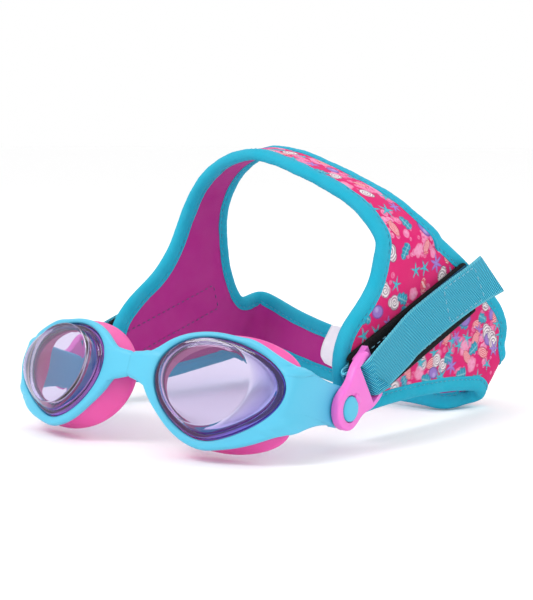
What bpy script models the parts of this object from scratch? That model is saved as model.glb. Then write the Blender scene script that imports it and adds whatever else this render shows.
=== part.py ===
"""Children's swim goggles with a wide neoprene head strap.

Blender 4.5 design script.  Every number below is in millimetres and is scaled
to metres when an object is made.  The design frame has its origin midway
between the two lens centres, +X towards one temple ("right"), +Y from the
lenses back towards the head strap, +Z up.  SHIFT then puts the origin of the
finished model at the centre of its footprint on the floor.
"""
import math

import bmesh
import bpy
import numpy as np
from mathutils import Matrix, Vector

for _ob in list(bpy.data.objects):
    bpy.data.objects.remove(_ob, do_unlink=True)

# ---------------------------------------------------------------- driving sizes
SHIFT = (-3.325, -71.925, 24.58)

LENS_W = 46.0                    # lens width over its rim
LENS_X = 36.6                    # lens centre from the middle
LENS_WRAP = math.radians(11.7)   # each lens turned towards its temple
LENS_WALL = 2.0
LENS_DOME = 5.6                  # how far the window stands in front of the rim
GASKET_X = 34.3
GASKET_BACK = 10.2
GASKET_WRAP = math.radians(9.0)
GASKET_WALL = 2.6
PITCH = math.radians(21.4)       # goggles lean back on their gaskets

STUD = (35.2, 4.3)               # stud axis in the goggles' own Y, Z
STUD_R = 4.5
PEG_R = 2.6
ARM_X = 62.9                     # mid plane of the side arm
ARM_T = 3.2

CLIP_X0, CLIP_X1 = 65.0, 68.4    # clip plate, inner and outer face
CLIP_RING_R = 7.7
SLOT_0, SLOT_1 = 12.6, 16.5      # slot, distance from the stud
SLOT_HALF = 8.3
BAR_END = 19.6

STRAP_W = 17.6                   # elastic webbing
STRAP_T = 0.9
PAD_W = 21.5
SLOPE = 0.10                     # side panels splay in plan, mm per mm

CORE_H = 0.9                     # half thickness of the foam core
PLY_0, PLY_1 = 1.2, 1.8          # printed face and lining, from the mid surface
BIND_W = 6.0                     # binding tape, across the face
BIND_H = 2.15                    # binding, half thickness
BIND_GAP = 0.35

# each side: middle of the pad's front end (Y, Z), rake of the pad, tilt of the
# clip towards its slot, pad length, and where the webbing's end tab stops
SIDE = {
    1: dict(front=(45.2, -2.7), rake=math.radians(21.5), tilt=math.radians(33.0), pad=80.0, tab=92.5, lift=2.4),
    -1: dict(front=(54.6, -1.2), rake=math.radians(16.5), tilt=math.radians(20.0), pad=64.0, tab=66.0, lift=0.0),
}

# ---------------------------------------------------------------- helpers
COLL = bpy.data.collections.new("swim_goggles")
bpy.context.scene.collection.children.link(COLL)


def material(name, rgb, rough, metal=0.0, transmission=0.0, alpha=1.0):
    mat = bpy.data.materials.new(name)
    mat.use_nodes = True
    bsdf = mat.node_tree.nodes["Principled BSDF"]
    bsdf.inputs["Base Color"].default_value = (rgb[0], rgb[1], rgb[2], 1.0)
    bsdf.inputs["Roughness"].default_value = rough
    bsdf.inputs["Metallic"].default_value = metal
    bsdf.inputs["Transmission Weight"].default_value = transmission
    bsdf.inputs["Alpha"].default_value = alpha
    return mat


def world(p):
    return ((p[0] + SHIFT[0]) / 1000.0, (p[1] + SHIFT[1]) / 1000.0, (p[2] + SHIFT[2]) / 1000.0)


def pitched(p):
    """Goggles' own frame -> design frame (lean back about X)."""
    c, s = math.cos(PITCH), math.sin(PITCH)
    return (p[0], p[1] * c + p[2] * s, p[2] * c - p[1] * s)


def unit(v):
    v = np.asarray(v, float)
    n = np.linalg.norm(v, axis=-1, keepdims=True)
    return v / np.maximum(n, 1e-9)


def make(name, verts, faces, mat, origin=(0.0, 0.0, 0.0), smooth=True):
    """Mesh object from points in the design frame, origin given there too."""
    o = world(origin)
    mesh = bpy.data.meshes.new(name)
    pts = []
    for p in verts:
        w = world(p)
        pts.append((w[0] - o[0], w[1] - o[1], w[2] - o[2]))
    mesh.from_pydata(pts, [], faces)
    mesh.update()
    bm = bmesh.new()
    bm.from_mesh(mesh)
    bmesh.ops.remove_doubles(bm, verts=bm.verts, dist=1e-7)
    bmesh.ops.recalc_face_normals(bm, faces=bm.faces)
    if bm.calc_volume(signed=True) < 0:
        bmesh.ops.reverse_faces(bm, faces=bm.faces)
    bm.to_mesh(mesh)
    bm.free()
    for poly in mesh.polygons:
        poly.use_smooth = smooth
    mesh.materials.append(mat)
    ob = bpy.data.objects.new(name, mesh)
    ob.location = o
    COLL.objects.link(ob)
    return ob


def grid_normals(g, closed_u):
    """Unit normals of a grid of points (n, m, 3)."""
    if closed_u:
        du = np.roll(g, -1, 0) - np.roll(g, 1, 0)
    else:
        du = np.gradient(g, axis=0)
    dv = np.gradient(g, axis=1)
    return unit(np.cross(du, dv))


def shell_mesh(g, n, lo, hi, closed_u):
    """Closed solid between mid grid g offset to lo and hi along n.

    lo, hi are arrays (n, m) of signed offsets.
    """
    nu, nv = g.shape[:2]
    top = g + n * hi[..., None]
    bot = g + n * lo[..., None]
    verts = list(top.reshape(-1, 3)) + list(bot.reshape(-1, 3))
    off = nu * nv
    faces = []
    last = nu if closed_u else nu - 1
    for i in range(last):
        j = (i + 1) % nu
        for k in range(nv - 1):
            a, b, c, d = i * nv + k, j * nv + k, j * nv + k + 1, i * nv + k + 1
            faces.append((a, b, c, d))
            faces.append((off + a, off + d, off + c, off + b))
        a, b = i * nv, j * nv
        faces.append((a, off + a, off + b, b))
        a, b = i * nv + nv - 1, j * nv + nv - 1
        faces.append((a, b, off + b, off + a))
    if not closed_u:
        for i in (0, nu - 1):
            for k in range(nv - 1):
                a, d = i * nv + k, i * nv + k + 1
                if i == 0:
                    faces.append((a, d, off + d, off + a))
                else:
                    faces.append((a, off + a, off + d, d))
    return verts, faces


def tube_mesh(sections, closed):
    """Loft closed loops (n, k, 3) into a solid, capped unless closed."""
    s = np.asarray(sections, float)
    n, k = s.shape[:2]
    faces = []
    for i in range(n if closed else n - 1):
        j = (i + 1) % n
        for q in range(k):
            r = (q + 1) % k
            faces.append((i * k + q, i * k + r, j * k + r, j * k + q))
    if not closed:
        faces.append(tuple(range(k))[::-1])
        faces.append(tuple((n - 1) * k + q for q in range(k)))
    return list(s.reshape(-1, 3)), faces


def rings_mesh(rings, close_first, close_last, wrap=False):
    """Loft rings of equal length; close_* fill the end ring with a fan."""
    k = len(rings[0])
    verts = [p for r in rings for p in r]
    faces = []
    count = len(rings)
    for i in range(count if wrap else count - 1):
        j = (i + 1) % count
        for q in range(k):
            r = (q + 1) % k
            faces.append((i * k + q, i * k + r, j * k + r, j * k + q))
    if close_first:
        c = np.mean(np.asarray(rings[0], float), 0)
        verts.append(tuple(c))
        for q in range(k):
            faces.append((len(verts) - 1, (q + 1) % k, q))
    if close_last:
        b = (count - 1) * k
        c = np.mean(np.asarray(rings[-1], float), 0)
        verts.append(tuple(c))
        for q in range(k):
            faces.append((len(verts) - 1, b + q, b + (q + 1) % k))
    return verts, faces


def loop_spline(ctrl, per):
    """Periodic Catmull-Rom through ctrl (n, d), per samples to a span."""
    c = np.asarray(ctrl, float)
    n = len(c)
    out = []
    for i in range(n):
        p0, p1, p2, p3 = c[i - 1], c[i], c[(i + 1) % n], c[(i + 2) % n]
        for q in range(per):
            t = q / per
            out.append(0.5 * (2 * p1 + (p2 - p0) * t + (2 * p0 - 5 * p1 + 4 * p2 - p3) * t * t
                              + (3 * p1 - p0 - 3 * p2 + p3) * t ** 3))
    return np.array(out)


def open_spline(ctrl, per):
    """Open Catmull-Rom through ctrl."""
    c = np.asarray(ctrl, float)
    c = np.vstack([2 * c[0] - c[1], c, 2 * c[-1] - c[-2]])
    out = []
    for i in range(1, len(c) - 2):
        p0, p1, p2, p3 = c[i - 1], c[i], c[i + 1], c[i + 2]
        for q in range(per):
            t = q / per
            out.append(0.5 * (2 * p1 + (p2 - p0) * t + (2 * p0 - 5 * p1 + 4 * p2 - p3) * t * t
                              + (3 * p1 - p0 - 3 * p2 + p3) * t ** 3))
    out.append(c[-2])
    return np.array(out)


def boolean(ob, cutter, operation):
    mod = ob.modifiers.new(operation.lower(), "BOOLEAN")
    mod.operation = operation
    mod.solver = "EXACT"
    mod.object = cutter
    cutter.hide_render = True
    cutter.display_type = "WIRE"
    if cutter.name in COLL.objects:
        COLL.objects.unlink(cutter)
    if cutter.name not in CUT.objects:
        CUT.objects.link(cutter)


def placed(x_axis, z_axis, origin):
    """World matrix of a local frame given in the design frame."""
    x, z = Vector(x_axis).normalized(), Vector(z_axis).normalized()
    m = Matrix((x, z.cross(x), z)).transposed().to_4x4()
    m.translation = world(origin)
    return m


def add(name, mesh, mat, matrix):
    ob = bpy.data.objects.new(name, mesh)
    mesh.materials.append(mat)
    ob.matrix_world = matrix
    COLL.objects.link(ob)
    return ob


def brick(name, lo, hi, mat, matrix):
    """Box from lo to hi, local millimetres."""
    mesh = bpy.data.meshes.new(name)
    bm = bmesh.new()
    bmesh.ops.create_cube(bm, size=1.0)
    size = Vector([(b - a) / 1000.0 for a, b in zip(lo, hi)])
    mid = Vector([(a + b) / 2000.0 for a, b in zip(lo, hi)])
    bmesh.ops.scale(bm, vec=size, verts=bm.verts)
    bmesh.ops.translate(bm, vec=mid, verts=bm.verts)
    bm.to_mesh(mesh)
    bm.free()
    return add(name, mesh, mat, matrix)


def cylinder(name, r, z0, z1, mat, matrix, segments=28):
    mesh = bpy.data.meshes.new(name)
    bm = bmesh.new()
    bmesh.ops.create_cone(bm, cap_ends=True, segments=segments, radius1=r / 1000.0, radius2=r / 1000.0,
                          depth=(z1 - z0) / 1000.0, matrix=Matrix.Translation((0, 0, (z0 + z1) / 2000.0)))
    bm.to_mesh(mesh)
    bm.free()
    return add(name, mesh, mat, matrix)


def plate(name, outline, z0, z1, mat, matrix, edge=0.0, segments=2):
    """Flat outline (local millimetres) filled and extruded from z0 to z1."""
    cu = bpy.data.curves.new(name + "_outline", "CURVE")
    cu.dimensions = "2D"
    cu.fill_mode = "BOTH"
    cu.extrude = (z1 - z0) / 2000.0
    sp = cu.splines.new("POLY")
    sp.points.add(len(outline) - 1)
    for pt, (a, b) in zip(sp.points, outline):
        pt.co = (a / 1000.0, b / 1000.0, 0.0, 1.0)
    sp.use_cyclic_u = True
    guide = bpy.data.objects.new(name + "_outline", cu)
    bpy.context.scene.collection.objects.link(guide)
    mesh = bpy.data.meshes.new_from_object(guide.evaluated_get(bpy.context.evaluated_depsgraph_get()))
    bpy.data.objects.remove(guide, do_unlink=True)
    mesh.name = name
    bm = bmesh.new()
    bm.from_mesh(mesh)
    bmesh.ops.remove_doubles(bm, verts=bm.verts, dist=1e-6)
    bmesh.ops.translate(bm, vec=(0, 0, (z0 + z1) / 2000.0), verts=bm.verts)
    bmesh.ops.recalc_face_normals(bm, faces=bm.faces)
    bm.to_mesh(mesh)
    bm.free()
    mesh.materials.clear()
    ob = add(name, mesh, mat, matrix)
    if edge:
        bevel = ob.modifiers.new("edge", "BEVEL")
        bevel.width = edge / 1000.0
        bevel.segments = segments
        bevel.limit_method = "ANGLE"
        bevel.angle_limit = math.radians(60)
    return ob


CUT = bpy.data.collections.new("cutters")
bpy.context.scene.collection.children.link(CUT)

# ---------------------------------------------------------------- materials
M_FRAME = material("frame_cyan", (0.14, 0.60, 0.80), 0.38)
M_LENS = material("lens_lavender", (0.52, 0.47, 0.68), 0.05, transmission=0.6, alpha=0.55)
M_GASKET = material("gasket_pink", (0.80, 0.13, 0.42), 0.45)
M_STUD = material("stud_cyan", (0.16, 0.58, 0.78), 0.40)
M_CLIP = material("clip_orchid", (0.86, 0.20, 0.62), 0.35)
M_CORE = material("foam_core", (0.05, 0.05, 0.06), 0.9)
M_PRINT = material("printed_knit", (0.75, 0.02, 0.18), 0.8)
M_LINING = material("lining_purple", (0.32, 0.02, 0.19), 0.9)
M_BIND = material("binding_teal", (0.01, 0.45, 0.62), 0.8)
M_PAD = material("hook_pad_black", (0.012, 0.012, 0.014), 0.9)
M_WEB = material("webbing_cyan", (0.02, 0.48, 0.70), 0.75)
M_HOOK = material("hook_patch_black", (0.02, 0.02, 0.022), 0.85)
M_LABEL = material("label_white", (0.80, 0.80, 0.80), 0.6)

# ---------------------------------------------------------------- goggles body


def lens_xy(t, s=1.0):
    """Lens rim outline in its own plane; x towards the temple, z up."""
    k = LENS_W / 46.0 * s
    x = 23.0 * math.cos(t) + 1.8 * math.sin(2 * t) + 1.55 * math.cos(3 * t)
    z = 17.9 * math.sin(t) + 0.5 * math.cos(2 * t) - 1.0 * math.sin(2 * t) + 0.55 * math.sin(3 * t)
    return x * k, z * k


def lens_point(side, x, y, z):
    """Point in a lens's own plane (y = depth, positive backwards)."""
    c, s = math.cos(LENS_WRAP), math.sin(LENS_WRAP)
    return (side * (LENS_X + x * c - y * s), x * s + y * c, z)


def lens(side, name):
    n = 40
    # (scale of the outline, depth) from the middle of the window outwards,
    # round the rim flange and back along the inside face
    front = [(0.40, -LENS_DOME - 0.25), (0.74, -LENS_DOME + 0.15), (0.805, -LENS_DOME + 0.70),
             (0.845, -LENS_DOME + 1.90), (0.885, -1.4), (0.915, -0.9), (0.97, -0.8), (0.995, 0.3), (0.995, 1.6)]
    back = [(0.90, 1.6), (0.855, 0.0), (0.81, -2.2), (0.76, -LENS_DOME + LENS_WALL + 0.6),
            (0.68, -LENS_DOME + LENS_WALL + 0.1), (0.36, -LENS_DOME + LENS_WALL - 0.2)]
    rings = []
    for s, y in front + back:
        ring = []
        for i in range(n):
            t = 2 * math.pi * i / n
            x, z = lens_xy(t, s)
            ring.append(pitched(lens_point(side, x, y, z)))
        rings.append(ring)
    v, f = rings_mesh(rings, True, True)
    return make(name, v, f, M_LENS, origin=pitched(lens_point(side, 0, 0, 0)))


def gasket(side, name):
    n = 40
    c, s = math.cos(GASKET_WRAP), math.sin(GASKET_WRAP)

    def back_rim(t, d, depth):
        x = 31.0 * math.cos(t) + 1.6 * math.cos(2 * t) - 7.5 * max(0.0, math.cos(t)) ** 8
        z = 20.8 * math.sin(t) + 1.1 * math.sin(2 * t) + 0.4
        r = math.hypot(x, z)
        x, z = x * (r - d) / r, z * (r - d) / r
        y = GASKET_BACK + x * s + depth
        return np.array((side * (GASKET_X + x * c), y, z))

    def front_rim(t, sc, depth):
        x, z = lens_xy(t, sc - 0.10 * max(0.0, math.cos(t)) ** 4)
        return np.array(lens_point(side, x, depth, z))

    rings = []
    # (blend from front to back, inset or scale at each end)
    for row in range(14):
        ring = []
        for i in range(n):
            t = 2 * math.pi * i / n
            fo, bo = front_rim(t, 1.05, 3.5), back_rim(t, 0.0, 0.0)
            fi, bi = front_rim(t, 0.915, 3.5), back_rim(t, GASKET_WALL + 1.2, 0.3)
            if row == 0:
                p = fo
            elif row == 1:
                p = fo * 0.85 + bo * 0.15
            elif row == 2:
                p = fo * 0.55 + bo * 0.45
            elif row == 3:
                p = fo * 0.25 + bo * 0.75
            elif row == 4:
                p = fo * 0.06 + bo * 0.94
            elif row == 5:
                p = back_rim(t, 0.3, 1.1)
            elif row == 6:
                p = back_rim(t, 1.2, 1.7)
            elif row == 7:
                p = back_rim(t, 2.4, 1.5)
            elif row == 8:
                p = bi
            elif row == 9:
                p = bi * 0.85 + fi * 0.15
            elif row == 10:
                p = bi * 0.6 + fi * 0.4
            elif row == 11:
                p = bi * 0.3 + fi * 0.7
            elif row == 12:
                p = fi
            else:
                p = fi * 0.5 + fo * 0.5
            ring.append(pitched(p))
        rings.append(ring)
    v, f = rings_mesh(rings, False, False, wrap=True)
    return make(name, v, f, M_GASKET, origin=pitched(lens_point(side, 0, 5.0, 0)))


def frame_outline():
    """Outer edge of the half frame as (angle, X, Y, Z), temple = 0 degrees."""
    a = ARM_X
    rows = [(0.0, a, 42.5, 4.3), (3.5, a, 41.5, 8.0), (7, a, 38.5, 10.9), (11, a, 34.0, 11.6),
            (15, a, 28.0, 11.3), (20, a, 21.5, 11.2), (26, a - 0.5, 15.0, 11.6), (33, a - 1.8, 9.8, 12.4),
            (42, 57.2, 6.0, 13.6), (53, 51.4, 3.9, 16.5), (66, 45.0, 2.4, 19.0)]
    for deg, out in ((80, 2.6), (95, 2.6), (110, 2.7), (125, 3.0), (139, 3.4)):
        t = math.radians(deg)
        x, z = lens_xy(t)
        r = math.hypot(x, z)
        p = lens_point(1, x * (r + out) / r, 0.9, z * (r + out) / r)
        rows.append((deg, p[0], p[1], p[2]))
    rows += [(149, 12.2, -3.6, 12.6), (156, 8.4, -3.9, 9.8), (161, 4.0, -4.1, 8.5), (165, 0.0, -4.1, 8.2),
             (173, 0.0, -4.1, 4.2), (181, 0.0, -4.1, 0.0), (186, 3.8, -4.1, -0.4), (193, 7.6, -4.0, -2.2),
             (202, 9.9, -3.8, -6.4)]
    for deg, out in ((213, 3.2), (225, 3.3), (240, 3.4), (256, 3.5), (270, 3.6), (284, 3.6)):
        t = math.radians(deg)
        x, z = lens_xy(t)
        r = math.hypot(x, z)
        p = lens_point(1, x * (r + out) / r, 0.9, z * (r + out) / r)
        rows.append((deg, p[0], p[1], p[2]))
    rows += [(297, 46.6, 3.4, -18.9), (309, 52.6, 5.0, -16.4), (320, 57.8, 8.0, -12.9),
             (329, a - 1.6, 12.8, -10.0), (336, a - 0.4, 18.0, -6.9), (342, a, 24.0, -4.6), (347, a, 30.0, -3.2),
             (351, a, 35.0, -3.0), (355, a, 38.8, -2.1), (358, a, 41.6, 0.6)]
    return rows


def frame():
    rows = frame_outline()
    ctrl = np.array([r[1:] for r in rows])
    ang = np.array([r[0] for r in rows] + [360.0])
    per = 2
    outer = loop_spline(ctrl, per)
    angs = np.concatenate([np.linspace(ang[i], ang[i + 1], per, endpoint=False) for i in range(len(rows))])
    n = len(outer)
    onmid = [i for i in range(n) if outer[i, 0] < 0.8 and 160 < angs[i] < 186]
    for i in onmid:
        outer[i, 0] = 0.0
    cols = [0.0, 0.22, 0.55, 0.84]
    g = np.zeros((n, len(cols) + 3, 3))
    half = np.zeros((n, len(cols) + 3))
    for i in range(n):
        t = math.radians(angs[i])
        x, z = lens_xy(t)
        r = math.hypot(x, z)
        k = (r + 0.35) / r
        p0 = np.array(lens_point(1, x * k, 1.0, z * k))
        p2 = outer[i]
        long = np.linalg.norm(p2 - p0)
        # control point keeps the sheet in the plane of the lens first
        d = np.array(lens_point(1, x * (r + 0.35 + 0.45 * long) / r, 1.0, z * (r + 0.35 + 0.45 * long) / r))
        p1 = d if long > 8 else 0.5 * (p0 + p2)
        if long > 12 and (angs[i] < 60 or angs[i] > 300):
            p1 = np.array((ARM_X + 0.3, p0[1] + 1.2, 0.5 * (p0[2] + p2[2])))
        edge = 1.5 / max(long, 3.0)
        vs = cols + [1 - edge * 0.55, 1 - edge * 0.16, 1.0]
        vs = sorted(min(v, 1.0) if v < 0.9 else v for v in vs)
        for j, v in enumerate(vs):
            g[i, j] = (1 - v) ** 2 * p0 + 2 * v * (1 - v) * p1 + v * v * p2
        h = np.array([1.65] * len(cols) + [1.5, 1.1, 0.55])
        if i in onmid:
            h[-3:] = 1.9
            h[-4] = 1.85
        half[i] = h
    nrm = grid_normals(g, True)
    # front is -Y or +X: make the direction consistent
    flip = np.sign(nrm[:, :, 0].sum() - nrm[:, :, 1].sum())
    nrm = nrm * flip
    flat = unit(np.array(lens_point(1, 0, -1, 0)) - np.array(lens_point(1, 0, 0, 0)))
    nrm[:, 0] = flat
    nrm[:, 1] = unit(nrm[:, 1] + flat)
    for i in onmid:
        nrm[i, -1, 0] = 0.0
        nrm[i, -1] = unit(nrm[i, -1])
    verts, faces = shell_mesh(g, nrm, -half, half, True)
    verts = [list(v) for v in verts]
    for v in verts:
        if abs(v[0]) < 0.02:
            v[0] = 0.0
    keep = [f for f in faces if not all(abs(verts[q][0]) < 1e-6 for q in f)]
    used = sorted({q for f in keep for q in f})
    remap = {q: i for i, q in enumerate(used)}
    half_v = [pitched(verts[q]) for q in used]
    half_f = [tuple(remap[q] for q in f) for f in keep]
    ob = make("frame", half_v, half_f, M_FRAME, origin=(0, 0, 0))
    mirror = ob.modifiers.new("other_side", "MIRROR")
    mirror.use_axis[0] = True
    mirror.merge_threshold = 0.00001
    return ob


def turned(side, profile, name, mat, n=28):
    """Round solid about the stud axis; profile is (x, radius), outer end to inner."""
    mesh = bpy.data.meshes.new(name)
    x0 = profile[-1][0]
    pts = [(0.0, 0.0, profile[0][0] - x0)] + [(r, 0.0, x - x0) for x, r in profile] + [(0.0, 0.0, 0.0)]
    mesh.from_pydata([(a / 1000.0, b, c / 1000.0) for a, b, c in pts], [(i, i + 1) for i in range(len(pts) - 1)], [])
    ob = add(name, mesh, mat, placed((0, 1, 0), (side, 0, 0), (side * x0, STUD_Y, STUD_Z)))
    screw = ob.modifiers.new("turn", "SCREW")
    screw.axis = "Z"
    screw.angle = 2 * math.pi
    screw.steps = screw.render_steps = n
    screw.use_merge_vertices = True
    screw.merge_threshold = 0.00001
    screw.use_smooth_shade = True
    return ob


STUD_Y = STUD[0] * math.cos(PITCH) + STUD[1] * math.sin(PITCH)
STUD_Z = STUD[1] * math.cos(PITCH) - STUD[0] * math.sin(PITCH)


def clip_point(e1, e2, x, side):
    c, s = math.cos(SIDE[side]["tilt"]), math.sin(SIDE[side]["tilt"])
    return (side * x, STUD_Y + e1 * c - e2 * s, STUD_Z + e1 * s + e2 * c)


def clip(side, name):
    """Pivoting clip: ring round the stud, neck, slotted head."""
    half = [(-7.7, 0.0), (-7.2, 2.8), (-5.4, 5.5), (-2.6, 7.2), (0.6, 7.6), (3.6, 7.5), (6.4, 7.9), (9.0, 9.0),
            (11.4, 9.9), (14.0, 10.3), (17.0, 10.4), (19.2, 10.0), (20.2, 8.6), (20.3, 5.0)]
    pts = half + [(20.3, 0.0)] + [(a, -b) for a, b in reversed(half[1:])]
    c, t = math.cos(SIDE[side]["tilt"]), math.sin(SIDE[side]["tilt"])
    at = placed((0, c, t), (side, 0, 0), (side * CLIP_X0, STUD_Y, STUD_Z))
    thick = CLIP_X1 - CLIP_X0
    ob = plate(name, pts, 0.0, thick, M_CLIP, at, edge=0.6)

    # slot, and the bar behind it thinned on both faces
    def block(e0, e1, w, x0, x1, label):
        return brick(label, (e0, -w, x0 - CLIP_X0), (e1, w, x1 - CLIP_X0), M_CLIP, at)

    def bore(r, x0, x1, label):
        return cylinder(label, r, x0 - CLIP_X0, x1 - CLIP_X0, M_CLIP, at)

    boolean(ob, block(SLOT_0, SLOT_1, SLOT_HALF, CLIP_X0 - 2, CLIP_X1 + 2, name + "_slot"), "DIFFERENCE")
    boolean(ob, block(SLOT_1 - 0.2, 24.0, SLOT_HALF, CLIP_X1 - 0.7, CLIP_X1 + 2, name + "_bar_a"), "DIFFERENCE")
    boolean(ob, block(SLOT_1 - 0.2, 24.0, SLOT_HALF, CLIP_X0 - 2, CLIP_X0 + 0.5, name + "_bar_b"), "DIFFERENCE")
    boolean(ob, bore(PEG_R + 0.3, CLIP_X0 - 2, CLIP_X1 + 2, name + "_bore"), "DIFFERENCE")
    boolean(ob, bore(STUD_R + 0.35, CLIP_X1 - 1.3, CLIP_X1 + 2, name + "_counterbore"), "DIFFERENCE")
    return ob


# ---------------------------------------------------------------- head strap
def panel_x(side, y):
    """Mid surface of the flat side panels."""
    return (58.2 if side > 0 else -59.1) + SLOPE * (y - 43.0)


def strap_rungs():
    """Outer edge point and opening edge point of each station, once round."""
    r = []

    def both(o, h):
        r.append((o, h))

    # crown band, from its top down to the right panel
    both((-3, 74, 78.2), (-8, 102.0, 79.4))
    both((9, 71, 76.2), (5.5, 99.8, 77.3))
    both((20, 69, 73), (19, 97, 73.4))
    both((31, 67, 69.3), (32.6, 94.5, 68.8))
    both((41, 66, 65), (44.4, 93, 64.2))
    both((49.5, 65.5, 60), (53.4, 93.4, 59.4))
    both((55.5, 65, 54.5), (59.4, 95.6, 54.4))
    # right panel: flat from here to the fold at the back
    pr = [((64.5, 48), (100, 49.3)), ((63.5, 41.5), (104.5, 46.3)), ((61, 34), (109, 43.6)), ((56, 28), (113.2, 41.1)),
          ((50, 23), (117.2, 38.7)), ((44.8, 18), (121, 36.3)), ((41.3, 12), (124.8, 33.8)), ((40, 5.5), (128.4, 31.2)),
          ((40.3, -1.5), (131.8, 28.6)), ((42.3, -8), (135.7, 25.9)), ((46.5, -12.8), (139.2, 23.2)),
          ((54, -14.8), (142.5, 20.5)), ((63, -14.2), (145.4, 17.8)), ((72, -13.7), (147.7, 15.1)),
          ((82, -13.5), (149.4, 12.5)), ((92, -13.5), (150.5, 10.0)), ((102, -13.8), (151.0, 7.6)),
          ((112, -14.4), (151.1, 5.4)), ((121, -15.4), (150.8, 3.4)), ((126.5, -16.1), (150.2, 1.6))]
    for (oy, oz), (hy, hz) in pr:
        both((panel_x(1, oy), oy, oz), (panel_x(1, hy), hy, hz))
    # fold at the back right corner, then the back band
    both((panel_x(1, 129.8), 129.8, -16.7), (panel_x(1, 149.5), 149.5, 0.0))
    both((66.9, 131.6, -17.8), (68.6, 150.4, -1.8))
    both((66.2, 134.0, -19.3), (67.3, 152.4, -3.1))
    both((64.6, 135.9, -21.0), (64.8, 153.8, -4.2))
    both((62.2, 135.4, -22.6), (61.2, 153.4, -5.0))
    both((60.2, 132.2, -23.7), (57.2, 151.0, -5.4))
    both((59.2, 128.2, -24.1), (53.0, 147.7, -5.4))
    both((57.6, 124.0, -23.9), (48.4, 144.3, -5.1))
    both((55.2, 121.0, -23.3), (43.0, 141.0, -4.4))
    both((51.0, 119.6, -22.8), (37.4, 138.2, -3.2))
    both((43.0, 119.6, -22.4), (30.0, 135.4, -1.7))
    both((33.0, 120.6, -22.3), (22.0, 133.6, -0.2))
    both((22.5, 123.0, -22.0), (13.0, 132.3, 1.4))
    both((12.0, 126.0, -21.4), (3.0, 132.0, 3.1))
    both((1.5, 129.0, -20.4), (-7.0, 133.0, 5.0))
    both((-9.0, 131.5, -19.0), (-17.0, 135.0, 7.2))
    both((-19.0, 133.6, -17.4), (-27.0, 137.6, 9.6))
    both((-29.0, 135.4, -15.6), (-35.0, 140.2, 11.9))
    both((-37.0, 136.4, -14.2), (-40.6, 141.8, 13.5))
    both((-42.8, 136.6, -13.2), (-44.2, 142.4, 14.6))
    both((-46.9, 135.2, -12.6), (-47.2, 141.6, 15.3))
    both((-49.2, 132.2, -12.3), (-49.1, 139.4, 15.3))
    # left panel: flat
    pl = [((128, -12.6), (136.4, 14.7)), ((121, -13.3), (134.2, 14.2)), ((112, -14.4), (132.3, 13.8)),
          ((103, -15.3), (130.6, 13.7)), ((94, -16.1), (129.1, 14.2)), ((85, -16.7), (127.8, 15.2)),
          ((76, -17.1), (126.7, 16.6)), ((67.5, -17.0), (125.7, 18.2)), ((60, -15.4), (124.8, 19.9)),
          ((55, -11.6), (123.9, 21.7)), ((52.3, -5.8), (123.1, 23.6)), ((51.4, 1), (122.3, 25.7)),
          ((52.4, 7.5), (121.6, 27.9)), ((56, 13.2), (121, 30.2)), ((61.5, 18.6), (120.5, 32.7)),
          ((67.5, 23), (120.1, 35.3)), ((73.5, 26.9), (119.8, 38)), ((78.8, 31.4), (119.6, 40.8)),
          ((83.5, 36.8), (119.4, 43.7)), ((87.3, 42.4), (119.2, 46.8))]
    for (oy, oz), (hy, hz) in pl:
        both((panel_x(-1, oy), oy, oz), (panel_x(-1, hy), hy, hz))
    # crown band, up the left side
    both((-53.4, 89.6, 48.6), (-50.8, 118.8, 51.0))
    both((-50.6, 90, 54.8), (-48.6, 117.6, 56.4))
    both((-46.6, 89.2, 60.8), (-44.8, 115.6, 62.0))
    both((-41.0, 87.5, 66.4), (-39.6, 113.2, 67.4))
    both((-33.8, 85.0, 71.0), (-33.2, 110.4, 72.2))
    both((-24.8, 81.6, 74.8), (-25.8, 107.4, 76.2))
    both((-14.3, 77.8, 77.2), (-17.2, 104.6, 78.6))
    return r


RUNGS = strap_rungs()
PER = 2
EDGE_O = loop_spline([a for a, b in RUNGS], PER)
EDGE_H = loop_spline([b for a, b in RUNGS], PER)
NS = len(EDGE_O)


def strap_frames():
    """Surface normal (outwards) and inward direction along both edges."""
    tan_o = unit(np.roll(EDGE_O, -1, 0) - np.roll(EDGE_O, 1, 0))
    tan_h = unit(np.roll(EDGE_H, -1, 0) - np.roll(EDGE_H, 1, 0))
    rung = unit(EDGE_H - EDGE_O)
    n_o = unit(np.cross(rung, tan_o))
    n_h = unit(np.cross(rung, tan_h))
    # outward: away from the middle of the head
    mid = np.array((5.0, 95.0, 0.0))
    out = (EDGE_O + EDGE_H) / 2 - mid
    if np.sum(n_o * out) < 0:
        n_o = -n_o
    if np.sum(n_h * out) < 0:
        n_h = -n_h
    in_o = unit(np.cross(n_o, tan_o))
    in_h = unit(np.cross(n_h, tan_h))
    if np.sum(in_o * rung) < 0:
        in_o = -in_o
    if np.sum(in_h * rung) > 0:
        in_h = -in_h
    return n_o, n_h, in_o, in_h


N_O, N_H, IN_O, IN_H = strap_frames()


def strap_ply(name, lo, hi, mat, cols=4):
    inset = BIND_W + BIND_GAP
    a = EDGE_O + IN_O * inset
    b = EDGE_H + IN_H * inset
    v = np.linspace(0, 1, cols)
    g = a[:, None] * (1 - v)[None, :, None] + b[:, None] * v[None, :, None]
    n = unit(N_O[:, None] * (1 - v)[None, :, None] + N_H[:, None] * v[None, :, None])
    shape = g.shape[:2]
    vs, fs = shell_mesh(g, n, np.full(shape, lo), np.full(shape, hi), True)
    return make(name, vs, fs, mat, origin=(5.0, 95.0, 0.0))


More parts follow.
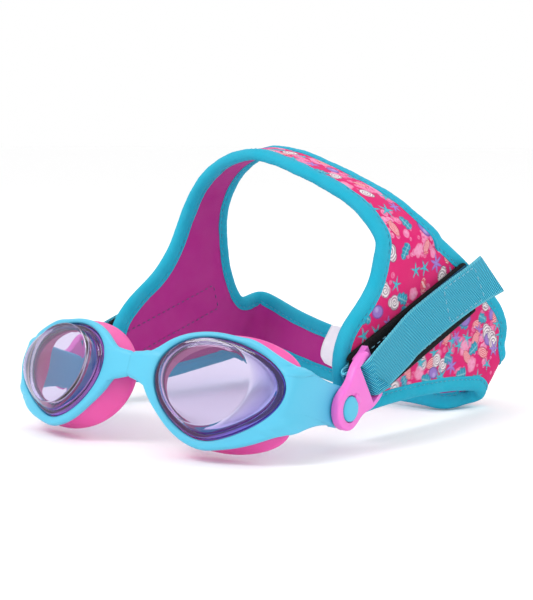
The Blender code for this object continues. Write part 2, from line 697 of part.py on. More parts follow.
def binding(edge, n, inward, name):
    # rounded section: (distance in from the edge, offset along the normal)
    h = BIND_H
    prof = [(BIND_W, -h), (1.3, -h), (0.3, -h * 0.6), (0.0, 0.0), (0.3, h * 0.6), (1.3, h), (BIND_W, h)]
    secs = []
    for i in range(len(edge)):
        secs.append([edge[i] + inward[i] * d + n[i] * k for d, k in prof])
    vs, fs = tube_mesh(secs, True)
    return make(name, vs, fs, M_BIND, origin=(5.0, 95.0, 0.0))




def pad_point(side, s, w, h, rake=None):
    """Along the pad, across it, and out from the panel's mid surface."""
    y0, z0 = SIDE[side]["front"]
    rk = SIDE[side]["rake"] if rake is None else rake
    k = math.sqrt(1 + SLOPE * SLOPE)
    # in-plane axes: a along the panel, b up
    a = np.array((SLOPE, 1.0, 0.0)) / k
    b = np.array((0.0, 0.0, 1.0))
    out = np.array((1.0, -SLOPE, 0.0)) / k * side
    base = np.array((panel_x(side, y0), y0, z0))
    d = a * math.cos(rk) + b * math.sin(rk)
    e = -a * math.sin(rk) + b * math.cos(rk)
    return base + d * s + e * w + out * h


PAD_0, PAD_1 = 2.45, 4.65        # pad bottom and top, from the mid surface
TONGUE_0, TONGUE_1 = 2.75, 3.65  # webbing tail inside the pad's pocket
POCKET_TOP = 4.05
TAB_DROP = 2.4                   # the free end of the right webbing hangs this much


def pad_frame(side):
    """Matrix with local X along the pad, Z out from the panel."""
    front = pad_point(side, 0.0, 0.0, 0.0)
    return placed(pad_point(side, 1.0, 0.0, 0.0) - front, pad_point(side, 0.0, 0.0, 1.0) - front, front)


def pad(side, name):
    """Pile pad with round front corners and a pocket for the webbing's tail."""
    hw, r, length = PAD_W / 2, 5.0, SIDE[side]["pad"]
    outline = [(length, -hw), (length, hw)]
    for q in range(7):
        a = math.radians(90 + 15 * q)
        outline.append((r + r * math.cos(a), hw - r + r * math.sin(a)))
    for q in range(7):
        a = math.radians(180 + 15 * q)
        outline.append((r + r * math.cos(a), -hw + r + r * math.sin(a)))
    at = pad_frame(side)
    ob = plate(name, outline, PAD_0, PAD_1, M_PAD, at, edge=0.3, segments=1)
    boolean(ob, brick(name + "_pocket", (-4.0, -9.3, PAD_0 - 2.0), (30.0, 9.3, POCKET_TOP), M_PAD, at), "DIFFERENCE")
    return ob


PATCH_0, PATCH_1 = 4.95, 5.70
WEB_0 = 6.0


def elastic(side, name):
    """Webbing from the pad's pocket, through the clip slot, to its end tab."""
    hw = STRAP_W / 2
    t = STRAP_T / 2
    path = []       # centre, width direction

    def at_pad(s, h, w=0.0, half=hw):
        p = pad_point(side, s, w, h)
        e = pad_point(side, s, w + 1.0, h) - p
        path.append((p, unit(e), half))

    def at_clip(e1, x, e2=0.0, half=hw):
        p = np.array(clip_point(e1, e2, x, side))
        e = np.array(clip_point(e1, e2 + 1.0, x, side)) - p
        path.append((p, unit(e), half))

    hin = (TONGUE_0 + TONGUE_1) / 2
    at_pad(20.0, hin, half=8.2)
    at_pad(12.0, hin, half=8.2)
    at_pad(4.0, hin, half=8.2)
    # short bight in front of the pad, turned back into the slot
    xin = abs(pad_point(side, 0.0, 0.0, hin)[0])
    front = SIDE[side]["front"]
    e_pad = math.hypot(front[0] - STUD_Y, front[1] - STUD_Z)
    back = max(e_pad - 2.6, 9.3)
    gap = 64.2 - xin
    at_clip(back + 0.9, xin + 0.05 * gap, half=7.9)
    at_clip(back - 0.3, xin + 0.30 * gap, half=7.8)
    at_clip(back - 0.2, xin + 0.72 * gap, half=7.7)
    at_clip(back + 1.2, 64.2, half=7.6)
    if back < 12.0:
        at_clip(13.2, 64.35, half=7.5)
    at_clip(14.75, 65.0, half=7.5)
    at_clip(15.4, 66.4, half=7.5)
    at_clip(15.9, 68.0, half=7.5)
    at_clip(17.4, 68.95, half=7.5)
    at_clip(20.8, 69.35, half=7.8)
    # outer run, laid along the pad
    hout = WEB_0 + t
    x_clip = 69.6
    end = SIDE[side]["tab"]
    up = SIDE[side]["lift"]
    s0 = 16.0 if side > 0 else 7.0
    reach = [(0.0, 0.90, 0.0), (0.17, 0.66, 0.3), (0.38, 0.38, 0.7), (0.60, 0.15, 0.9), (0.78, 0.04, 1.0),
             (1.0, 0.0, 1.0)]
    for q, k, lift in reach:
        s = s0 + q * (46.0 - s0)
        w = up * lift
        p = pad_point(side, s, w, hout)
        m = p * (1 - k) + np.array((side * x_clip, p[1], p[2])) * k
        path.append((m, unit(pad_point(side, s, w + 1.0, hout) - p), hw))
    for q in (0.25, 0.5, 0.75, 1.0):
        s = 46.0 + q * (end - 46.0)
        w = up - (TAB_DROP * q * q if side > 0 else 0.0)
        p = pad_point(side, s, w, hout)
        path.append((p, unit(pad_point(side, s, w + 1.0, hout) - p), hw))
    ctr = open_spline([p for p, e, w in path], 3)
    wid = unit(open_spline([e for p, e, w in path], 3))
    hwd = open_spline([(w, w, w) for p, e, w in path], 3)[:, 0]
    tan = unit(np.gradient(ctr, axis=0))
    nor = unit(np.cross(tan, wid))
    wid = unit(np.cross(nor, tan))
    secs = []
    count = len(ctr)
    for i, (c, e, n, w) in enumerate(zip(ctr, wid, nor, hwd)):
        # the free tab lifts and skews a little at its end
        k = max(0.0, 1.0 - (count - 1 - i) / 5.0) if side > 0 else 0.0
        swing = math.radians(15.0) * k * k
        e, n = e * math.cos(swing) - n * math.sin(swing), n * math.cos(swing) + e * math.sin(swing)
        e = e - tan[i] * 0.35 * k
        tt = t * 0.8 if i < 9 else t
        prof = [(-w, 0.0), (-w + 0.4, -tt), (w - 0.4, -tt), (w, 0.0), (w - 0.4, tt), (-w + 0.4, tt)]
        secs.append([c + e * a + n * b for a, b in prof])
    v, f = tube_mesh(secs, False)
    return make(name, v, f, M_WEB, origin=tuple(path[9][0]))


def patch(side, name):
    end = min(SIDE[side]["tab"], SIDE[side]["pad"]) - 2.0
    up = SIDE[side]["lift"] * side
    return brick(name, (end - 30.0, up - 8.0, PATCH_0), (end, up + 8.0, PATCH_1), M_HOOK, pad_frame(side))


def label(name):
    """Care label standing up from the inside of the back band."""
    pts = [((6.0, 128.4, 4.2), (1.0, 0.05, -0.1)), ((5.6, 125.8, 0.8), (1.0, 0.05, -0.12)),
           ((5.2, 122.6, -3.6), (1.0, 0.05, -0.14)), ((5.4, 120.8, -8.4), (1.0, 0.05, -0.2)),
           ((6.6, 121.6, -12.4), (1.0, 0.05, -0.3))]
    ctr = open_spline([p for p, e in pts], 4)
    wid = unit(open_spline([e for p, e in pts], 4))
    tan = unit(np.gradient(ctr, axis=0))
    nor = unit(np.cross(tan, wid))
    secs = []
    for c, e, n in zip(ctr, wid, nor):
        secs.append([c + e * a + n * b for a, b in ((-7, -0.2), (7, -0.2), (7, 0.2), (-7, 0.2))])
    v, f = tube_mesh(secs, False)
    return make(name, v, f, M_LABEL, origin=pts[0][0])


# ---------------------------------------------------------------- build
frame()
for side, tag in ((1, "right"), (-1, "left")):
    lens(side, "lens_" + tag)
    gasket(side, "gasket_" + tag)
    turned(side, [(CLIP_X1 + 0.85, STUD_R - 1.4), (CLIP_X1 + 0.6, STUD_R - 0.5), (CLIP_X1 + 0.1, STUD_R),
                  (CLIP_X1 - 0.8, STUD_R), (CLIP_X1 - 1.0, STUD_R - 0.5), (CLIP_X1 - 1.15, PEG_R),
                  (ARM_X + ARM_T / 2 + 0.3, PEG_R)], "stud_" + tag, M_STUD)
    clip(side, "clip_" + tag)
    pad(side, "hook_pad_" + tag)
    elastic(side, "elastic_" + tag)
    patch(side, "hook_patch_" + tag)
strap_ply("strap_core", -CORE_H, CORE_H, M_CORE)
strap_ply("strap_print", PLY_0, PLY_1, M_PRINT)
strap_ply("strap_lining", -PLY_1, -PLY_0, M_LINING)
binding(EDGE_O, N_O, IN_O, "binding_outer")
binding(EDGE_H, N_H, IN_H, "binding_opening")
label("care_label")
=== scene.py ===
import math

import bmesh
import bpy
import numpy as np
from mathutils import Matrix, Vector


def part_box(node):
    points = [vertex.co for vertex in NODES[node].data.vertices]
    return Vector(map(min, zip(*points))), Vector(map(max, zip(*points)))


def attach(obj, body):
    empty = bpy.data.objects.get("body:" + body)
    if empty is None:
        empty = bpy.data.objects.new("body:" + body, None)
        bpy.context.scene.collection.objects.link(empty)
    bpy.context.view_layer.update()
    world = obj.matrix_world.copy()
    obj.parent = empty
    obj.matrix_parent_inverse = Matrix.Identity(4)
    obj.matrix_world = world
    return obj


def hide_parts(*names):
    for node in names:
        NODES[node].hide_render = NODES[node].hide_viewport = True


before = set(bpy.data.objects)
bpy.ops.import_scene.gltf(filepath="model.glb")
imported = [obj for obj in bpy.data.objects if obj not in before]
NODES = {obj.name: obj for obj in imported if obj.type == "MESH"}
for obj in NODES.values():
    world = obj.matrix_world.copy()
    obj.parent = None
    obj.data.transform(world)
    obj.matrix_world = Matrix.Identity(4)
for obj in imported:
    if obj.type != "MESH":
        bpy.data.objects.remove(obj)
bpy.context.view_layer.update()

# ================================================================ sizes
# Design space: millimetres, origin midway between the lens centres, +Y back.
LENS_W, LENS_X, LENS_WRAP = 46.0, 36.6, math.radians(11.7)
LENS_WALL, LENS_DOME = 2.0, 5.6
GASKET_X, GASKET_BACK, GASKET_WRAP, GASKET_WALL = 34.3, 10.2, math.radians(9.0), 2.6
PITCH = math.radians(21.4)
STUD, STUD_R, PEG_R = (35.2, 4.3), 4.5, 2.6
ARM_X, ARM_T = 62.9, 3.2
CLIP_X0, CLIP_X1 = 65.0, 68.4
SLOT_0, SLOT_1, SLOT_HALF = 12.6, 16.5, 8.3
STRAP_W, STRAP_T, PAD_W, SLOPE = 17.6, 0.9, 21.5, 0.10
BIND_W = 6.0
PAD_0, PAD_1, POCKET_TOP = 2.45, 4.65, 4.05
TONGUE_0, TONGUE_1, WEB_0, TAB_DROP = 2.75, 3.65, 6.0, 2.4
SIDE = {
    1: dict(front=(45.2, -2.7), rake=math.radians(21.5), tilt=math.radians(33.0), pad=80.0, tab=92.5, lift=2.4),
    -1: dict(front=(54.6, -1.2), rake=math.radians(16.5), tilt=math.radians(20.0), pad=64.0, tab=66.0, lift=0.0),
}
STUD_Y = STUD[0] * math.cos(PITCH) + STUD[1] * math.sin(PITCH)
STUD_Z = STUD[1] * math.cos(PITCH) - STUD[0] * math.sin(PITCH)
# where the CAD stands: frame for the middle, right stud for depth and height
FLO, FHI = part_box("frame")
SLO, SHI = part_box("stud_right")
SHIFT = np.array(((FLO[0] + FHI[0]) * 500.0, (SLO[1] + SHI[1]) * 500.0 - STUD_Y, (SLO[2] + SHI[2]) * 500.0 - STUD_Z))


def lin(r, g, b):
    """8-bit sRGB to linear."""
    out = []
    for c in (r, g, b):
        c = c / 255.0
        out.append(c / 12.92 if c <= 0.04045 else ((c + 0.055) / 1.055) ** 2.4)
    return tuple(out)


# ================================================================ mesh helpers
def unit(v):
    v = np.asarray(v, float)
    return v / np.maximum(np.linalg.norm(v, axis=-1, keepdims=True), 1e-12)


def loop_spline(ctrl, per):
    c = np.asarray(ctrl, float)
    p0, p1, p2, p3 = np.roll(c, 1, 0), c, np.roll(c, -1, 0), np.roll(c, -2, 0)
    out = []
    for q in range(per):
        t = q / per
        out.append(0.5 * (2 * p1 + (p2 - p0) * t + (2 * p0 - 5 * p1 + 4 * p2 - p3) * t * t
                          + (3 * p1 - p0 - 3 * p2 + p3) * t ** 3))
    return np.stack(out, 1).reshape((len(c) * per,) + c.shape[1:])


def open_spline(ctrl, per):
    c = np.asarray(ctrl, float)
    c = np.concatenate([(2 * c[0] - c[1])[None], c, (2 * c[-1] - c[-2])[None]])
    out = []
    for i in range(1, len(c) - 2):
        p0, p1, p2, p3 = c[i - 1], c[i], c[i + 1], c[i + 2]
        for q in range(per):
            t = q / per
            out.append(0.5 * (2 * p1 + (p2 - p0) * t + (2 * p0 - 5 * p1 + 4 * p2 - p3) * t * t
                              + (3 * p1 - p0 - 3 * p2 + p3) * t ** 3))
    out.append(c[-2])
    return np.array(out)


def pitched(p):
    p = np.asarray(p, float)
    c, s = math.cos(PITCH), math.sin(PITCH)
    return np.stack([p[..., 0], p[..., 1] * c + p[..., 2] * s, p[..., 2] * c - p[..., 1] * s], -1)


def build(name, verts, faces, mat, uvs=None, smooth=True, attrs=None):
    """Object from design-space points. uvs is one pair per face corner."""
    v = (np.asarray(verts, float).reshape(-1, 3) + SHIFT) / 1000.0
    me = bpy.data.meshes.new(name)
    me.from_pydata(v.tolist(), [], faces if isinstance(faces, list) else faces.tolist())
    me.update()
    if uvs is not None:
        lay = me.uv_layers.new(name="UVMap")
        lay.data.foreach_set("uv", np.asarray(uvs, np.float32).ravel())
    for key, val in (attrs or {}).items():
        a = me.attributes.new(key, "FLOAT_COLOR", "POINT")
        col = np.ones((len(v), 4), np.float32)
        col[:, :3] = np.asarray(val).reshape(-1, 3)
        a.data.foreach_set("color", col.ravel())
    me.materials.append(mat)
    me.polygons.foreach_set("use_smooth", np.full(len(me.polygons), smooth))
    ob = bpy.data.objects.new(name, me)
    bpy.context.scene.collection.objects.link(ob)
    return ob


def outward(ob):
    bm = bmesh.new()
    bm.from_mesh(ob.data)
    bmesh.ops.recalc_face_normals(bm, faces=bm.faces)
    if bm.calc_volume(signed=True) < 0:
        bmesh.ops.reverse_faces(bm, faces=bm.faces)
    bm.to_mesh(ob.data)
    bm.free()
    return ob


def quads(nu, nv, cu, cv):
    i = np.arange(nu if cu else nu - 1)[:, None]
    k = np.arange(nv if cv else nv - 1)[None, :]
    i2, k2 = (i + 1) % nu, (k + 1) % nv
    f = np.stack(np.broadcast_arrays(i * nv + k, i2 * nv + k, i2 * nv + k2, i * nv + k2), -1)
    i, k = np.broadcast_arrays(i, k)
    ci = np.stack((i, i + 1, i + 1, i), -1)
    ck = np.stack((k, k, k + 1, k + 1), -1)
    return f.reshape(-1, 4), ci.reshape(-1, 4), ck.reshape(-1, 4)


def uv_of(ci, ck, u, v):
    """u (nu+1,) or (nu+1, nv+1), v likewise, looked up at grid corners."""
    u, v = np.asarray(u, float), np.asarray(v, float)
    ci, ck = np.broadcast_arrays(ci, ck)
    uu = u[ci] if u.ndim == 1 else u[ci, ck]
    vv = v[ck] if v.ndim == 1 else v[ci, ck]
    return np.stack([uu, vv], -1)


def tube(name, secs, mat, cu=True, u=None, v=None, smooth=True, caps=True, attrs=None):
    """Loft of closed sections (nu, nv, 3); cu closes it end to end."""
    s = np.asarray(secs, float)
    nu, nv = s.shape[:2]
    f, ci, ck = quads(nu, nv, cu, True)
    if u is None:
        d = np.linalg.norm(np.diff(np.vstack([s[:, 0], s[:1, 0]]), axis=0), axis=1)
        u = np.concatenate([[0], np.cumsum(d)])
    if v is None:
        d = np.linalg.norm(np.diff(np.vstack([s[nu // 2], s[nu // 2][:1]]), axis=0), axis=1)
        v = np.concatenate([[0], np.cumsum(d)])
    uv = uv_of(ci, ck, u, v).reshape(-1, 2)
    faces = f.tolist()
    if not cu and caps:
        faces.append(list(range(nv))[::-1])
        faces.append([(nu - 1) * nv + q for q in range(nv)])
        uv = np.vstack([uv, np.zeros((2 * nv, 2))])
    return build(name, s, faces, mat, uv, smooth, attrs)


def shell(name, top, bot, mat, cu, u, v, attrs=None, smooth=True):
    """Closed solid between two matching grids."""
    nu, nv = top.shape[:2]
    f, ci, ck = quads(nu, nv, cu, False)
    uv = uv_of(ci, ck, u, v)
    off = nu * nv
    fb = (f + off)[:, ::-1]
    i = np.arange(nu if cu else nu - 1)
    j = (i + 1) % nu
    e0 = np.stack([i * nv, i * nv + off, j * nv + off, j * nv], -1)
    k = nv - 1
    e1 = np.stack([i * nv + k, j * nv + k, j * nv + k + off, i * nv + k + off], -1)
    ue = np.stack([i, i, i + 1, i + 1], -1)
    uv0 = uv_of(ue, np.zeros_like(ue), u, v)
    uv1 = uv_of(np.stack([i, i + 1, i + 1, i], -1), np.full_like(ue, k), u, v)
    parts, uvp = [f, fb, e0, e1], [uv, uv[:, ::-1], uv0, uv1]
    if not cu:
        kk = np.arange(nv - 1)
        for row, turn in ((0, False), (nu - 1, True)):
            a = np.stack([row * nv + kk, row * nv + kk + 1, row * nv + kk + 1 + off, row * nv + kk + off], -1)
            c = np.stack([kk, kk + 1, kk + 1, kk], -1)
            w = uv_of(np.full_like(c, row), c, u, v)
            parts.append(a[:, ::-1] if turn else a)
            uvp.append(w[:, ::-1] if turn else w)
    at = {q: np.concatenate([np.asarray(w).reshape(-1, 3)] * 2) for q, w in (attrs or {}).items()}
    return build(name, np.concatenate([top.reshape(-1, 3), bot.reshape(-1, 3)]), np.concatenate(parts),
                 mat, np.concatenate(uvp).reshape(-1, 2), smooth, at)


def rings(name, rr, mat, first=True, last=True, wrap=False, smooth=True, attrs=None):
    """Loft rings (m, k, 3); ends closed with a fan."""
    r = np.asarray(rr, float)
    m, k = r.shape[:2]
    f, ci, ck = quads(m, k, wrap, True)
    verts = r.reshape(-1, 3)
    faces = f.tolist()
    uvs = [uv_of(ci, ck, np.linspace(0, 1, m + 1) * 20, np.linspace(0, 1, k + 1) * 100).reshape(-1, 2)]
    extra = []
    for want, row in ((first, 0), (last, m - 1)):
        if want:
            c = len(verts) + len(extra)
            extra.append(r[row].mean(0))
            for q in range(k):
                a, b = row * k + q, row * k + (q + 1) % k
                faces.append([c, b, a] if row == 0 else [c, a, b])
            uvs.append(np.zeros((3 * k, 2)))
    if extra:
        verts = np.vstack([verts, extra])
    at = None
    if attrs:
        at = {}
        for q, w in attrs.items():
            w = np.asarray(w, float).reshape(-1, 3)
            ends = [w[:1]] * first + [w[-1:]] * last
            at[q] = np.vstack([w] + ends)
    return outward(build(name, verts, faces, mat, np.vstack(uvs), smooth, at))


def resample(path, ups, pitch, start=0.0, closed=False):
    p = np.asarray(path, float)
    n = np.asarray(ups, float)
    if closed:
        p, n = np.vstack([p, p[:1]]), np.vstack([n, n[:1]])
    d = np.concatenate([[0], np.cumsum(np.linalg.norm(np.diff(p, axis=0), axis=1))])
    count = max(1, int((d[-1] - start) / pitch))
    s = start + (np.arange(count) + 0.5) * ((d[-1] - start) / count)
    pos = np.stack([np.interp(s, d, p[:, q]) for q in range(3)], -1)
    a = np.stack([np.interp(s - 0.3, d, p[:, q]) for q in range(3)], -1)
    b = np.stack([np.interp(s + 0.3, d, p[:, q]) for q in range(3)], -1)
    up = unit(np.stack([np.interp(s, d, n[:, q]) for q in range(3)], -1))
    return pos, unit(b - a), up


def threads(name, lines, mat, length, r):
    """Sewn stitches: one short thread hump each. lines is a list of (pos, dir, up)."""
    pos = np.vstack([q[0] for q in lines])
    dr = np.vstack([q[1] for q in lines])
    up = np.vstack([q[2] for q in lines])
    side = unit(np.cross(dr, up))
    up = unit(np.cross(side, dr))
    ts = np.array((-1.0, -0.86, -0.5, 0.0, 0.5, 0.86, 1.0))
    rad = np.array((0.25, 0.8, 1.0, 1.0, 1.0, 0.8, 0.25)) * r
    hump = np.array((-1.6, -0.8, 0.15, 0.45, 0.15, -0.8, -1.6)) * r
    m = 7
    ang = 2 * np.pi * np.arange(m) / m
    jig = np.sin(np.arange(len(pos)) * 12.9898) * 0.06
    dirs = unit(dr + side * jig[:, None])
    v = (pos[:, None, None] + dirs[:, None, None] * (ts * length / 2)[None, :, None, None]
         + up[:, None, None] * (hump[None, :, None, None] + (rad[:, None] * np.sin(ang))[None, :, :, None])
         + side[:, None, None] * (rad[:, None] * np.cos(ang))[None, :, :, None])
    n = len(pos)
    f1, ci, ck = quads(len(ts), m, False, True)
    base = np.arange(n)[:, None, None] * (len(ts) * m)
    faces = (f1[None] + base).reshape(-1, 4).tolist()
    caps = []
    for q in range(n):
        b = q * len(ts) * m
        caps.append([b + w for w in range(m)][::-1])
        caps.append([b + (len(ts) - 1) * m + w for w in range(m)])
    uv = np.tile(uv_of(ci, ck, ts * length / 2, ang.tolist() + [2 * np.pi]).reshape(-1, 2), (n, 1))
    uv = np.vstack([uv, np.zeros((n * 2 * m, 2))])
    return build(name, v.reshape(-1, 3), faces + caps, mat, uv)


# ================================================================ materials
class Mat:
    def __init__(self, name):
        self.m = bpy.data.materials.new(name)
        self.m.use_nodes = True
        self.nt = self.m.node_tree
        self.b = self.nt.nodes["Principled BSDF"]

    def node(self, kind, **props):
        n = self.nt.nodes.new(kind)
        for k, v in props.items():
            setattr(n, k, v)
        return n

    def put(self, sock, val):
        if isinstance(val, bpy.types.NodeSocket):
            self.nt.links.new(val, sock)
        elif isinstance(val, (tuple, list)) and sock.type == "RGBA":
            sock.default_value = (*val[:3], 1.0)
        else:
            sock.default_value = val

    def set(self, **vals):
        for k, v in vals.items():
            self.put(self.b.inputs[k.replace("_", " ")], v)

    def math(self, op, a, b=0.0, c=0.0, clamp=False):
        n = self.node("ShaderNodeMath", operation=op, use_clamp=clamp)
        for q, v in enumerate((a, b, c)):
            self.put(n.inputs[q], v)
        return n.outputs[0]

    def uv(self):
        s = self.node("ShaderNodeSeparateXYZ")
        n = self.node("ShaderNodeUVMap", uv_map="UVMap")
        self.nt.links.new(n.outputs[0], s.inputs[0])
        return s.outputs[0], s.outputs[1], n.outputs[0]

    def obj(self):
        return self.node("ShaderNodeTexCoord").outputs["Object"]

    def noise(self, vec, scale, detail=2.0, rough=0.5, stretch=None):
        if stretch:
            m = self.node("ShaderNodeMapping")
            self.put(m.inputs[0], vec)
            m.inputs["Scale"].default_value = stretch
            vec = m.outputs[0]
        n = self.node("ShaderNodeTexNoise")
        self.put(n.inputs["Vector"], vec)
        n.inputs["Scale"].default_value = scale
        n.inputs["Detail"].default_value = detail
        n.inputs["Roughness"].default_value = rough
        return n.outputs[0]

    def mix(self, fac, a, b, blend="MIX"):
        n = self.node("ShaderNodeMix", data_type="RGBA", blend_type=blend)
        self.put(n.inputs[0], fac)
        self.put(n.inputs[6], a)
        self.put(n.inputs[7], b)
        return n.outputs[2]

    def ramp(self, fac, *stops):
        n = self.node("ShaderNodeValToRGB")
        self.put(n.inputs[0], fac)
        e = n.color_ramp.elements
        while len(e) > len(stops):
            e.remove(e[-1])
        while len(e) < len(stops):
            e.new(1.0)
        for q, (pos, col) in zip(e, stops):
            q.position = pos
            q.color = (*col, 1.0)
        return n.outputs[0]

    def range(self, x, a0, a1, b0, b1):
        n = self.node("ShaderNodeMapRange")
        self.put(n.inputs[0], x)
        for q, v in enumerate((a0, a1, b0, b1)):
            n.inputs[q + 1].default_value = v
        return n.outputs[0]

    def attr(self, name):
        return self.node("ShaderNodeAttribute", attribute_name=name).outputs["Color"]

    def bump(self, height, strength, dist, base=None):
        n = self.node("ShaderNodeBump")
        self.put(n.inputs["Height"], height)
        n.inputs["Strength"].default_value = strength
        n.inputs["Distance"].default_value = dist
        if base is not None:
            self.put(n.inputs["Normal"], base)
        return n.outputs[0]

    def knit(self, w, c):
        """Jersey: columns of small V loops. w wale pitch, c course pitch, mm."""
        u, v, _ = self.uv()
        fu = self.math("FRACT", self.math("DIVIDE", u, w))
        tri = self.math("ABSOLUTE", self.math("SUBTRACT", fu, 0.5))
        ph = self.math("ADD", self.math("DIVIDE", v, c), tri)
        s = self.math("MULTIPLY_ADD", self.math("SINE", self.math("MULTIPLY", ph, 2 * math.pi)), 0.5, 0.5)
        edge = self.math("SUBTRACT", 1.0, self.math("POWER", self.math("MULTIPLY", tri, 2.0), 3.0))
        mid = self.math("SMOOTH_MIN", self.math("MULTIPLY", tri, 6.0), 1.0, 0.2)
        return self.math("MULTIPLY", self.math("MULTIPLY", s, edge), mid)


def tint(m, base, var, scale=60.0, amount=0.35):
    """Slow drift between a colour and its neighbour."""
    return m.mix(m.math("MULTIPLY", m.noise(m.obj(), scale, 3.0), amount), base, var)


def jersey(name, base, shade, w=0.55, c=0.45, bump=0.35, sheen=0.35, rough=0.85, amount=0.5, from_attr=None):
    m = Mat(name)
    k = m.knit(w, c)
    fuzz = m.noise(m.obj(), 2600.0, 3.0, 0.7)
    patch = m.noise(m.obj(), 120.0, 2.0)
    col = m.attr(from_attr) if from_attr else tint(m, base, shade, 45.0, amount)
    # painted shade: dark is the colour darkened by multiply, laid into the knit's hollows between the loops where the
    # knit height f is low
    dark = m.mix(1.0, col, tuple(0.62 * q + 0.1 for q in (1, 1, 1)), "MULTIPLY")
    f = m.math("MULTIPLY_ADD", k, 0.75, m.math("MULTIPLY", fuzz, 0.35), clamp=True)
    col = m.mix(f, dark, col)
    col = m.mix(m.math("MULTIPLY", patch, 0.03), col, (1, 1, 1))
    h = m.math("ADD", m.math("MULTIPLY", k, 0.7), m.math("MULTIPLY", fuzz, 0.6))
    m.set(Base_Color=col, Roughness=m.range(fuzz, 0.2, 0.8, rough - 0.08, rough + 0.1), Normal=m.bump(h, bump, 0.00022),
          Sheen_Weight=sheen, Sheen_Roughness=0.45, Specular_IOR_Level=0.12)
    m.b.inputs["Sheen Tint"].default_value = (*[min(1, q * 0.6 + 0.4) for q in base], 1)
    return m.m


def moulded(name, base, deep, rough=0.38, grain=0.12, sss=0.0, coat=0.0, edge=None):
    """Moulded rubber or plastic: slow colour drift, fine grain, handling marks."""
    m = Mat(name)
    o = m.obj()
    col = m.mix(m.range(m.noise(o, 28.0, 2.0), 0.3, 0.7, 0.0, 0.5), base, deep)
    if edge:
        col = m.mix(m.attr("edge"), col, edge)
    fine = m.noise(o, 1800.0, 3.0, 0.6)
    marks = m.noise(o, 900.0, 2.0, 0.5, stretch=(1.0, 0.12, 0.6))
    r = m.math("ADD", m.range(fine, 0.2, 0.8, rough - 0.05, rough + 0.06), m.range(marks, 0.55, 0.8, 0.0, 0.10))
    h = m.math("ADD", fine, m.math("MULTIPLY", m.noise(o, 90.0, 2.0), 1.6))
    m.set(Base_Color=col, Roughness=r, Normal=m.bump(h, grain, 0.00012), Coat_Weight=coat, Coat_Roughness=0.25)
    if sss:
        m.set(Subsurface_Weight=sss, Subsurface_Scale=0.0035)
        m.b.inputs["Subsurface Radius"].default_value = (0.8, 0.9, 1.0)
    return m.m


def webbing(name):
    m = Mat(name)
    u, v, _ = m.uv()
    wob = m.noise(m.obj(), 160.0, 1.0)
    ph = m.math("ADD", m.math("DIVIDE", m.math("SUBTRACT", m.math("MULTIPLY", v, 0.906), m.math("MULTIPLY", u, 0.423)), 0.80),
                m.math("MULTIPLY", wob, 0.35))
    rib = m.math("MULTIPLY_ADD", m.math("SINE", m.math("MULTIPLY", ph, 2 * math.pi)), 0.5, 0.5)
    step = m.math("MULTIPLY", m.math("FLOOR", ph), 0.37)
    kn = m.math("MULTIPLY_ADD", m.math("SINE", m.math("MULTIPLY", m.math("ADD", m.math("DIVIDE", u, 1.05), step),
                                                      2 * math.pi)), 0.5, 0.5)
    h = m.math("MULTIPLY", m.math("POWER", rib, 0.8), m.math("MULTIPLY_ADD", kn, 0.38, 0.62))
    fib = m.noise(m.obj(), 3200.0, 2.0, 0.6)
    edge = m.math("ABSOLUTE", v)
    # painted highlight: the rounded selvedges are lightened towards their edges
    selvedge_highlight = m.range(edge, STRAP_W / 2 - 1.1, STRAP_W / 2 - 0.5, 0.0, 1.0)
    # painted shade and highlight: the colour runs from dark navy in the hollows between the twill ribs to pale cyan on
    # the rib crowns, keyed to the rib height h
    col = m.ramp(h, (0.0, lin(0, 78, 118)), (0.32, lin(0, 138, 178)), (0.68, lin(24, 188, 222)), (1.0, lin(108, 226, 244)))
    col = m.mix(m.math("MULTIPLY", fib, 0.16), col, lin(150, 232, 246))
    col = m.mix(m.math("MULTIPLY", selvedge_highlight, 0.45), col, lin(120, 214, 232))
    hh = m.math("ADD", h, m.math("MULTIPLY", fib, 0.25))
    m.set(Base_Color=col, Roughness=m.range(fib, 0.2, 0.8, 0.6, 0.82), Normal=m.bump(hh, 1.0, 0.00042),
          Sheen_Weight=0.04, Sheen_Roughness=0.4, Specular_IOR_Level=0.15)
    return m.m


def pile(name, base, tip):
    """Short looped pile."""
    m = Mat(name)
    o = m.obj()
    a, b = m.noise(o, 1500.0, 4.0, 0.7), m.noise(o, 320.0, 2.0)
    h = m.math("ADD", a, m.math("MULTIPLY", b, 0.5))
    # painted highlight: the loop tips, where the pile height a is high, are lightened towards tip
    m.set(Base_Color=m.mix(m.range(a, 0.45, 0.8, 0.0, 1.0), base, tip), Roughness=m.range(a, 0.2, 0.8, 0.8, 1.0),
          Normal=m.bump(h, 0.9, 0.0004), Sheen_Weight=0.03, Sheen_Roughness=0.5, Specular_IOR_Level=0.12)
    return m.m


def thread(name, base, dark):
    m = Mat(name)
    u, v, _ = m.uv()
    ply = m.math("MULTIPLY_ADD", m.math("SINE", m.math("ADD", m.math("MULTIPLY", u, 14.0), m.math("MULTIPLY", v, 2.0))), 0.5, 0.5)
    f = m.math("MULTIPLY", m.noise(m.obj(), 1500.0, 2.0), 0.4)
    # painted shade: the grooves between the twisted plies take the dark colour, the ply crowns the base colour
    m.set(Base_Color=m.mix(m.math("ADD", m.math("MULTIPLY", ply, 0.5), f, clamp=True), dark, base), Roughness=m.range(ply, 0, 1, 0.7, 0.5),
          Normal=m.bump(ply, 0.6, 0.0001), Sheen_Weight=0.2)
    return m.m


def foam(name):
    m = Mat(name)
    v = m.node("ShaderNodeTexVoronoi")
    m.put(v.inputs["Vector"], m.obj())
    v.inputs["Scale"].default_value = 2200.0
    d = v.outputs[0]
    # painted shade: the foam's cell hollows, near the Voronoi points, are darkest
    m.set(Base_Color=m.ramp(d, (0.0, (0.006, 0.006, 0.008)), (0.6, (0.03, 0.03, 0.035))), Roughness=m.range(d, 0, 1, 0.85, 0.98),
          Normal=m.bump(d, 0.6, 0.0002))
    return m.m


